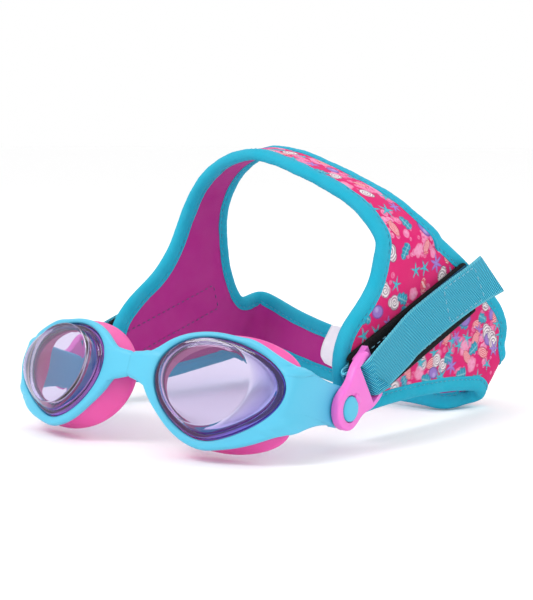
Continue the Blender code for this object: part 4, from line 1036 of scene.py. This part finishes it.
def m_star(P, i, x, y, col=None, dark=None, arms=5, slim=1.0):
    col, dark = col or lin(64, 184, 204), dark or SEA_D
    r = np.hypot(x, y)
    th = np.arctan2(y, x)
    a = np.abs(((th / (2 * np.pi) * arms) % 1.0) - 0.5) * 2     # 1 on an arm
    edge = 0.26 + 0.80 * np.clip(a, 0, 1) ** (3.2 * slim)
    d = (r - edge) * 0.6
    P.lay(i, aa(d - 0.05, 0.10), dark)
    P.lay(i, aa(d, 0.10), col)
    P.lay(i, aa(np.abs(((r * 4) % 1) - 0.5) - 0.2, 0.2) * aa(d + 0.12, 0.1) * 0.35, tuple(min(1, q * 1.6 + 0.05) for q in col))


def m_flower(P, i, x, y):
    m_star(P, i, x, y, LILAC, LILAC_D, arms=6, slim=0.5)


def m_oval(P, i, x, y):
    r = np.hypot(x * 0.95, y * 1.25)
    P.lay(i, aa(r - 1.0, 0.14), LILAC_D)
    P.lay(i, aa(r - 0.84, 0.14), LILAC)
    P.lay(i, aa(np.hypot(x + 0.2, y - 0.25) - 0.3, 0.2) * 0.6, lin(206, 186, 236))


def m_bub(P, i, x, y, k=0.55):
    r = np.hypot(x, y)
    P.lay(i, aa(r - 1.0, 0.2) * k, BUB)
    P.lay(i, aa(np.abs(r - 0.86) - 0.10, 0.2) * k * 0.7, BUB_L)
    P.lay(i, aa(np.hypot(x + 0.3, y - 0.3) - 0.28, 0.25) * k, BUB_L)


def m_blob(P, i, x, y):
    for a, b, r in ((-0.5, 0.0, 0.45), (0.0, 0.35, 0.5), (0.5, 0.1, 0.45), (0.15, -0.35, 0.5), (-0.3, -0.4, 0.38), (0.6, -0.4, 0.32)):
        P.lay(i, aa(np.hypot(x - a, y - b) - r, 0.15) * 0.62, lin(250, 168, 206))


def m_coral(P, i, x, y):
    m_star(P, i, x, y, lin(150, 110, 190), LILAC_D, arms=7, slim=0.7)


MOTIF = dict(spiral=m_spiral, stripe=m_stripe, conch=m_conch, star=m_star, flower=m_flower, oval=m_oval, bub=m_bub,
             blob=m_blob, coral=m_coral)

def rnd(k):
    """Repeatable 0..1 from a counter."""
    v = math.sin(k * 127.1 + 311.7) * 43758.5453
    return v - math.floor(v)


def paint_strap(g, nn, s, vv):
    P = Paint(g, nn, lin(228, 24, 116))
    n, cols = g.shape[:2]
    drift = 0.5 + 0.5 * ripple(s, vv, 3.3)
    P.c = P.c * (0.93 + 0.10 * drift.reshape(-1, 1))
    tang = unit(np.roll(g, -1, 0) - np.roll(g, 1, 0))
    wide = vv[:-1, -1] - vv[:-1, 0]

    def at(q, f, turn, size, fn, sy=1.0, **kw):
        i, k = int(q * n) % n, int(np.clip(f, 0.02, 0.98) * (cols - 1))
        nz, ax = nn[i, k], tang[i, k]
        ay = unit(np.cross(nz, ax))
        c, w = math.cos(turn), math.sin(turn)
        bx, by = ax * c + ay * w, ay * c - ax * w
        idx, x, y = P.local(g[i, k], bx, by, nz, size * 1.8)
        fn(P, idx, x / size, y / (size * sy), **kw)

    # bubbles over the whole cloth, thickest in drifts
    k = 0
    for a in range(150):
        q, f = rnd(k), rnd(k + 0.5)
        cl = rnd(k + 0.21)
        for b in range(7):
            k += 1
            at(q + (rnd(k * 1.7) - 0.5) * 0.016, f + (rnd(k * 2.3) - 0.5) * 0.30, 0.0, 0.55 + 1.15 * rnd(k * 3.1) ** 1.5, m_bub,
               k=0.30 + 0.45 * cl)
    # motifs in turn on a jittered lattice over the whole cloth
    kinds = ["spiral", "star", "conch", "stripe", "flower", "conch", "star", "oval", "spiral", "stripe", "blob", "star"]
    cell, k, turn = 7.6, 0, 0
    rows = int(LOOP / cell)
    for a in range(rows):
        q = (a + 0.5) / rows
        i = int(q * n) % n
        w = wide[i]
        m = max(1, int(round(w / 8.0)))
        for b in range(m):
            k += 1
            f = (b + 0.5 + (0.25 if a % 2 else -0.25) * (m > 1)) / m + (rnd(k * 5.3) - 0.5) * 0.10
            qq = q + (rnd(k * 7.7) - 0.5) * 0.4 / rows
            kind = kinds[(turn * 5) % len(kinds)]
            turn += 1
            at(qq, f, rnd(k * 9.1) * 6.28, 2.7 + 0.9 * rnd(k * 11.3), MOTIF[kind])
    return P.c


def strap_pieces():
    made = []
    # printed face: fine enough to carry the print
    n, cols = 2160, 116
    g, nn, s, vv, dist = strap_grid(n, cols, 4.6)
    puff = 1.62 + 0.34 * (1 - np.exp(-np.maximum(dist - 1.0, 0) / 2.2)) + 0.07 * ripple(s, vv, 1.0)
    top = g + nn * puff[..., None]
    bot = g + nn * 1.22
    col = paint_strap(top, nn, s, vv)
    made.append((shell("strap_printed_face", top, bot, M_PRINT, True, s, vv, {"print": col}), "strap_print"))
    n, cols = 960, 40
    g, nn, s, vv, dist = strap_grid(n, cols, 4.6)
    puff = 1.62 + 0.34 * (1 - np.exp(-np.maximum(dist - 1.0, 0) / 2.2)) + 0.08 * ripple(s, vv, 5.0)
    made.append((shell("strap_inner_lining", g - nn * 1.22, g - nn * puff[..., None], M_LINING, True, s, vv), "strap_lining"))
    g, nn, s, vv, dist = strap_grid(480, 14, 4.2)
    made.append((shell("strap_foam_core", g + nn * 1.18, g - nn * 1.18, M_FOAM, True, s, vv), "strap_core"))
    # bindings: folded jersey tape, pinched under its stitch row
    top = [(6.05, 1.66), (6.08, 1.90), (5.95, 2.04), (5.6, 2.10), (5.2, 2.06), (4.9, 1.96), (4.7, 1.93), (4.5, 1.97), (4.2, 2.10),
           (3.7, 2.24), (3.0, 2.34), (2.2, 2.32), (1.5, 2.16), (0.9, 1.82), (0.42, 1.30), (0.12, 0.68), (0.0, 0.0)]
    prof = np.array(top + [(a, -b) for a, b in reversed(top[:-1])])
    e, s = even(1500)
    no, nh, io, ih = frames(e)
    w = 2 * np.pi * s[:-1] / LOOP
    pucker = 0.012 * np.sin(w * 173) + 0.035 * np.sin(w * 23) + 0.022 * np.sin(w * 57 + 1.0)
    spots = []
    for k, (nrm, inn, nm, node) in enumerate(((no, io, "binding_outer_tape", "binding_outer"), (nh, ih, "binding_opening_tape", "binding_opening"))):
        full = 1 + pucker * (1 if k == 0 else -1)
        d = prof[None, :, 0] + 0.06 * np.sin(w * 41 + k)[:, None] * (prof[None, :, 0] > 5)
        h = prof[None, :, 1] * full[:, None]
        secs = e[:, k][:, None] + inn[:, None] * d[..., None] + nrm[:, None] * h[..., None]
        v = np.concatenate([[0], np.cumsum(np.linalg.norm(np.diff(np.vstack([prof, prof[:1]]), axis=0), axis=1))])
        made.append((outward(tube(nm, secs, M_BIND, True, s, v)), node))
        lines = []
        for sg in (1, -1):
            path = e[:, k] + inn * 4.72 + nrm * (sg * 2.0)
            lines.append(resample(path, nrm * sg, 2.9, closed=True))
        spots.append((threads("stitches_" + node, lines, M_THREAD, 2.05, 0.19), None))
    return made + spots


# ================================================================ pads, webbing
def pad_point(side, s, w, h):
    y0, z0 = SIDE[side]["front"]
    rk = SIDE[side]["rake"]
    k = math.sqrt(1 + SLOPE * SLOPE)
    a = np.array((SLOPE, 1.0, 0.0)) / k
    b = np.array((0.0, 0.0, 1.0))
    out = np.array((1.0, -SLOPE, 0.0)) / k * side
    base = np.array((panel_x(side, y0), y0, z0))
    d = a * math.cos(rk) + b * math.sin(rk)
    e = -a * math.sin(rk) + b * math.cos(rk)
    s, w, h = np.broadcast_arrays(np.asarray(s, float), np.asarray(w, float), np.asarray(h, float))
    return base + d * s[..., None] + e * w[..., None] + out * h[..., None]


def pad(side, name):
    hw, r, length = PAD_W / 2, 5.0, SIDE[side]["pad"]
    o = []
    for q in range(24):
        o.append((r + (length - 2 * r * 0.5 - r) * (1 - q / 23.0), hw))
    for q in range(1, 17):
        a = math.radians(90 + 90 * q / 16)
        o.append((r + r * math.cos(a), hw - r + r * math.sin(a)))
    for q in range(1, 17):
        a = math.radians(180 + 90 * q / 16)
        o.append((r + r * math.cos(a), -hw + r + r * math.sin(a)))
    for q in range(1, 24):
        o.append((r + (length - 2 * r * 0.5 - r) * q / 23.0, -hw))
    o += [(length - 0.4, -hw + 0.2), (length, -hw + 0.9), (length, 0.0), (length, hw - 0.9), (length - 0.4, hw - 0.2)]
    o = np.array(o)
    tan = unit(np.roll(o, -1, 0) - np.roll(o, 1, 0))
    nor = np.stack([tan[:, 1], -tan[:, 0]], -1)
    c = o.mean(0)
    if np.sum(nor * (o - c)) > 0:
        nor = -nor
    rr = []
    for h, k in ((PAD_0, 0.5), (PAD_0 + 0.12, 0.12), (PAD_0 + 0.4, 0.0), (PAD_1 - 0.7, 0.0), (PAD_1 - 0.3, 0.12), (PAD_1 - 0.06, 0.5),
                 (PAD_1, 1.3), (PAD_1 + 0.02, 3.5)):
        p = o + nor * k
        rr.append(pad_point(side, p[:, 0], p[:, 1], h))
    ob = rings(name, rr, M_PAD)
    tool = block([pad_point(side, s, w, h) for h in (PAD_0 - 2.0, POCKET_TOP)
                  for s, w in ((-4.0, -9.3), (30.0, -9.3), (30.0, 9.3), (-4.0, 9.3))], M_PAD)
    cut(ob, tool)
    ob.data.set_sharp_from_angle(angle=math.radians(50))
    # sewing line on the pad's face
    i = 3.0
    q = np.array([(length - 3, hw - i), (12, hw - i), (6.0, hw - i - 0.6), (3.6, hw - i - 3.2), (3.4, 0.0), (3.6, -hw + i + 3.2),
                  (6.0, -hw + i + 0.6), (12, -hw + i), (length - 3, -hw + i)])
    q = open_spline(q, 12)
    path = pad_point(side, q[:, 0], q[:, 1], PAD_1 + 0.06)
    out = np.tile(unit(np.array((1.0, -SLOPE, 0.0))) * side, (len(path), 1))
    return ob, threads(name + "_stitches", [resample(path, out, 3.5)], M_THREAD_LT, 2.3, 0.2)


def web_path(side):
    hw, t = STRAP_W / 2, STRAP_T / 2
    path = []

    def at_pad(s, h, w=0.0, half=hw):
        p = pad_point(side, s, w, h)
        path.append((p, unit(pad_point(side, s, w + 1.0, h) - p), half))

    def at_clip(e1, x, half=hw):
        p = clip_point(e1, 0.0, x, side)
        path.append((p, unit(clip_point(e1, 1.0, x, side) - p), half))

    hin = (TONGUE_0 + TONGUE_1) / 2
    at_pad(20.0, hin, half=8.2)
    at_pad(12.0, hin, half=8.2)
    at_pad(4.0, hin, half=8.2)
    xin = abs(pad_point(side, 0.0, 0.0, hin)[0])
    front = SIDE[side]["front"]
    e_pad = math.hypot(front[0] - STUD_Y, front[1] - STUD_Z)
    back = max(e_pad - 2.6, 9.3)
    gap = 64.2 - xin
    at_clip(back + 0.9, xin + 0.05 * gap, half=7.9)
    at_clip(back - 0.3, xin + 0.30 * gap, half=7.8)
    at_clip(back - 0.2, xin + 0.72 * gap, half=7.7)
    at_clip(back + 1.2, 64.2, half=7.6)
    if back < 12.0:
        at_clip(13.2, 64.35, half=7.5)
    at_clip(14.75, 65.0, half=7.5)
    at_clip(15.4, 66.4, half=7.5)
    at_clip(15.9, 68.0, half=7.5)
    at_clip(17.2, 68.95, half=7.9)
    at_clip(20.4, 69.45, half=8.1)
    hout = WEB_0 + t
    end, up = SIDE[side]["tab"], SIDE[side]["lift"]
    s0 = 16.0 if side > 0 else 7.0
    run = [(0.0, 0.90, 0.0), (0.17, 0.66, 0.3), (0.38, 0.38, 0.7), (0.60, 0.15, 0.9), (0.78, 0.04, 1.0), (1.0, 0.0, 1.0)]
    for q, k, lift in run[2:] if side > 0 else run[1:]:
        s = s0 + q * (46.0 - s0)
        w = up * lift
        p = pad_point(side, s, w, hout)
        m = p * (1 - k) + np.array((side * 69.6, p[1], p[2])) * k
        path.append((m, unit(pad_point(side, s, w + 1.0, hout) - p), hw))
    for q in (0.25, 0.5, 0.75, 1.0):
        s = 46.0 + q * (end - 46.0)
        w = up - (TAB_DROP * q * q if side > 0 else 0.0)
        p = pad_point(side, s, w, hout)
        path.append((p, unit(pad_point(side, s, w + 1.0, hout) - p), hw))
    return path


def web(side, name):
    path = web_path(side)
    per = 14
    ctr = open_spline([p for p, e, w in path], per)
    wid = unit(open_spline([e for p, e, w in path], per))
    hwd = open_spline([(w, w, w) for p, e, w in path], per)[:, 0]
    tan = unit(np.gradient(ctr, axis=0))
    nor = unit(np.cross(tan, wid))
    wid = unit(np.cross(nor, tan))
    out_sign = 1.0 if (nor[-1] @ np.array((side, 0, 0))) > 0 else -1.0
    n = len(ctr)
    k = np.maximum(0.0, 1.0 - (n - 1 - np.arange(n)) / (5.0 * per / 3)) if side > 0 else np.zeros(n)
    sw = np.radians(15.0) * k * k
    cs, sn = np.cos(sw)[:, None], np.sin(sw)[:, None]
    e, nn = wid * cs - nor * sn, nor * cs + wid * sn
    e = e - tan * (0.35 * k)[:, None]
    th = np.where(np.arange(n) < 9 * per / 3, 0.8, 1.0) * STRAP_T / 2
    # section: rounded selvedges a little thicker than the middle
    m = 15
    y = np.linspace(-1, 1, m)
    hy = 0.88 + 0.14 * np.exp(-((np.abs(y) - 0.90) / 0.05) ** 2)
    hy[0] = hy[-1] = 0.45
    ring_y = np.concatenate([y, y[::-1]])
    ring_h = np.concatenate([-hy, hy[::-1]])
    wave = 0.05 * np.sin(np.arange(n) * 0.9)[:, None]
    secs = (ctr[:, None] + e[:, None] * (ring_y[None] * (hwd[:, None] + 0.10 * wave))[..., None]
            + nn[:, None] * (ring_h[None] * th[:, None])[..., None])
    d = np.concatenate([[0], np.cumsum(np.linalg.norm(np.diff(ctr, axis=0), axis=1))])
    u = np.concatenate([d, [d[-1]]])
    v = np.concatenate([ring_y, ring_y[:1]]) * STRAP_W / 2
    ob = outward(tube(name, secs, M_WEB, False, u, v, caps=True))
    # stitch rows on the outer face
    lines = []
    top = out_sign * th[:, None] * 0.95
    a0 = np.searchsorted(d, d[-1] - (34.0 if side > 0 else 26.0))
    a1 = np.searchsorted(d, d[-1] - 10.5)
    for f in (-0.80, 0.80):
        path3 = (ctr + e * (hwd * f)[:, None] + nn * top)[a0:a1]
        lines.append(resample(path3, (nn * out_sign)[a0:a1], 3.1))
    for q in (a0, a1):
        row = np.array([ctr[q] + e[q] * (hwd[q] * f) + nn[q] * top[q] for f in np.linspace(-0.80, 0.80, 9)])
        lines.append(resample(row, np.tile(nn[q] * out_sign, (9, 1)), 2.9))
    return ob, threads(name + "_stitches", lines, M_THREAD_LT, 2.3, 0.22)


def label_piece(name):
    pts = [((6.0, 128.4, 4.2), (1.0, 0.05, -0.1)), ((5.6, 125.8, 0.8), (1.0, 0.05, -0.12)),
           ((5.2, 122.6, -3.6), (1.0, 0.05, -0.14)), ((5.4, 120.8, -8.4), (1.0, 0.05, -0.2)),
           ((6.6, 121.6, -12.4), (1.0, 0.05, -0.3))]
    ctr = open_spline([p for p, e in pts], 12)
    wid = unit(open_spline([e for p, e in pts], 12))
    tan = unit(np.gradient(ctr, axis=0))
    nor = unit(np.cross(tan, wid))
    y = np.linspace(-1, 1, 13)
    ry, rh = np.concatenate([y, y[::-1]]), np.concatenate([np.full(13, -1.0), np.full(13, 1.0)])
    bend = 0.35 * (1 - ry ** 2)
    secs = (ctr[:, None] + wid[:, None] * (7 * ry)[None, :, None]
            + nor[:, None] * (0.2 * rh + bend)[None, :, None])
    d = np.concatenate([[0], np.cumsum(np.linalg.norm(np.diff(ctr, axis=0), axis=1))])
    return outward(tube(name, secs, M_LABEL, False, np.concatenate([d, d[-1:]]), np.concatenate([ry, ry[:1]]) * 7, caps=True))


def lining_box():
    """Where the left pad is sewn through: its stitch box shows on the lining."""
    length, hw = SIDE[-1]["pad"] - 5.0, PAD_W / 4
    q = np.array([(2.0, hw), (length, hw), (length, -hw), (2.0, -hw)])
    lines = []
    for a, b in zip(q[:-1], q[1:]):
        m = 20
        p = a[None] * (1 - np.linspace(0, 1, m)[:, None]) + b[None] * np.linspace(0, 1, m)[:, None]
        path = pad_point(-1, p[:, 0], p[:, 1], -2.02)
        inn = np.tile(unit(np.array((1.0, -SLOPE, 0.0))), (m, 1))
        lines.append(resample(path, inn, 2.9))
    return threads("lining_stitch_box", lines, M_THREAD_DK, 1.9, 0.17)


def lining_box_right():
    length, hw = SIDE[1]["pad"], PAD_W / 2 - 3.0
    q = np.array([(length - 3, hw), (4.0, hw), (4.0, -hw), (length - 3, -hw), (length - 3, hw)])
    lines = []
    for a, b in zip(q[:-1], q[1:]):
        m = 20
        p = a[None] * (1 - np.linspace(0, 1, m)[:, None]) + b[None] * np.linspace(0, 1, m)[:, None]
        lines.append(resample(pad_point(1, p[:, 0], p[:, 1], -2.02), np.tile(unit(np.array((-1.0, SLOPE, 0.0))), (m, 1)), 3.1))
    return threads("lining_stitch_box_right", lines, M_THREAD_DK, 1.9, 0.17)


# ================================================================ assemble
def settle(ob, body, slot, *nodes):
    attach(ob, body)
    if nodes:
        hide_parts(*nodes)
    return ob


settle(frame_piece("frame_moulded"), "goggles", "tpr_cyan", "frame")
for side, tag in ((1, "right"), (-1, "left")):
    settle(lens(side, "lens_clear_" + tag), "goggles", "lens_lavender", "lens_" + tag)
    settle(gasket(side, "gasket_soft_" + tag), "goggles", "tpr_pink", "gasket_" + tag)
    settle(stud(side, "stud_button_" + tag), "goggles", "stud_cyan", "stud_" + tag)
    body = tag + "_clip"
    settle(clip(side, "clip_moulded_" + tag), body, "clip_orchid", "clip_" + tag)
    settle(tooth(side, "clip_catch_" + tag), body, "clip_orchid")
    ob, st = web(side, "webbing_" + tag)
    settle(ob, body, "webbing_cyan", "elastic_" + tag)
    settle(st, body, "webbing_cyan")
    ob, st = pad(side, "pile_pad_" + tag)
    settle(ob, "head_strap", "hook_pad_black", "hook_pad_" + tag)
    settle(st, "head_strap", "webbing_cyan")
    NODES["hook_patch_" + tag].data.materials.clear()
    NODES["hook_patch_" + tag].data.materials.append(M_HOOK)

SLOTS = {"strap_print": "printed_jersey", "strap_lining": "lining_jersey", "strap_core": "neoprene_foam",
         "binding_outer": "binding_teal", "binding_opening": "binding_teal"}
for ob, node in strap_pieces():
    if node:
        settle(ob, "head_strap", SLOTS[node], node)
    else:
        settle(ob, "head_strap", "binding_teal")
settle(label_piece("care_label_blank"), "head_strap", "label_white", "care_label")
settle(lining_box(), "head_strap", "lining_jersey")
settle(lining_box_right(), "head_strap", "lining_jersey")

# ================================================================ stage
m = Mat("floor_paper")
m.set(Base_Color=m.mix(m.math("MULTIPLY", m.noise(m.obj(), 12.0, 2.0), 0.2), (0.995, 0.995, 0.995), (0.985, 0.985, 0.987)), Roughness=0.9)
me = bpy.data.meshes.new("floor")
bm = bmesh.new()
bmesh.ops.create_grid(bm, x_segments=8, y_segments=8, size=12.0)
bm.to_mesh(me)
bm.free()
me.materials.append(m.m)
floor = bpy.data.objects.new("floor", me)
bpy.context.scene.collection.objects.link(floor)
floor.location = (0, 0, -0.0002)

world = bpy.data.worlds.new("studio")
bpy.context.scene.world = world
world.use_nodes = True
world.node_tree.nodes["Background"].inputs[0].default_value = (1.0, 1.0, 1.0, 1.0)
world.node_tree.nodes["Background"].inputs[1].default_value = 1.0


def area(name, loc, aim, size, power):
    li = bpy.data.lights.new(name, "AREA")
    li.shape, li.size, li.energy = "DISK", size, power
    ob = bpy.data.objects.new(name, li)
    ob.location = loc
    ob.rotation_euler = (Vector(aim) - Vector(loc)).to_track_quat("-Z", "Y").to_euler()
    bpy.context.scene.collection.objects.link(ob)


area("key", (-0.30, -0.70, 0.90), (0, 0, 0.04), 0.45, 4.2)
area("fill", (0.85, -0.45, 0.45), (0, 0, 0.04), 0.6, 1.0)
area("back", (0.1, 0.8, 0.8), (0, 0, 0.04), 0.6, 2.0)

az, el = math.radians(35.86), math.radians(6.62)
B = Vector((math.sin(az) * math.cos(el), -math.cos(az) * math.cos(el), math.sin(el)))
R = Vector((math.cos(az), math.sin(az), 0.0))
U = B.cross(R)
cam = bpy.data.cameras.new("camera")
cam.lens, cam.sensor_width, cam.sensor_fit = 84.36, 36.0, "AUTO"
cam.clip_start = 0.01
cob = bpy.data.objects.new("camera", cam)
mw = Matrix((R, U, B)).transposed().to_4x4()
mw.translation = (Vector((326.34, -372.46, 85.13)) + Vector(SHIFT)) / 1000.0
cob.matrix_world = mw
bpy.context.scene.collection.objects.link(cob)
bpy.context.scene.camera = cob
bpy.context.scene.view_settings.view_transform = "Standard"
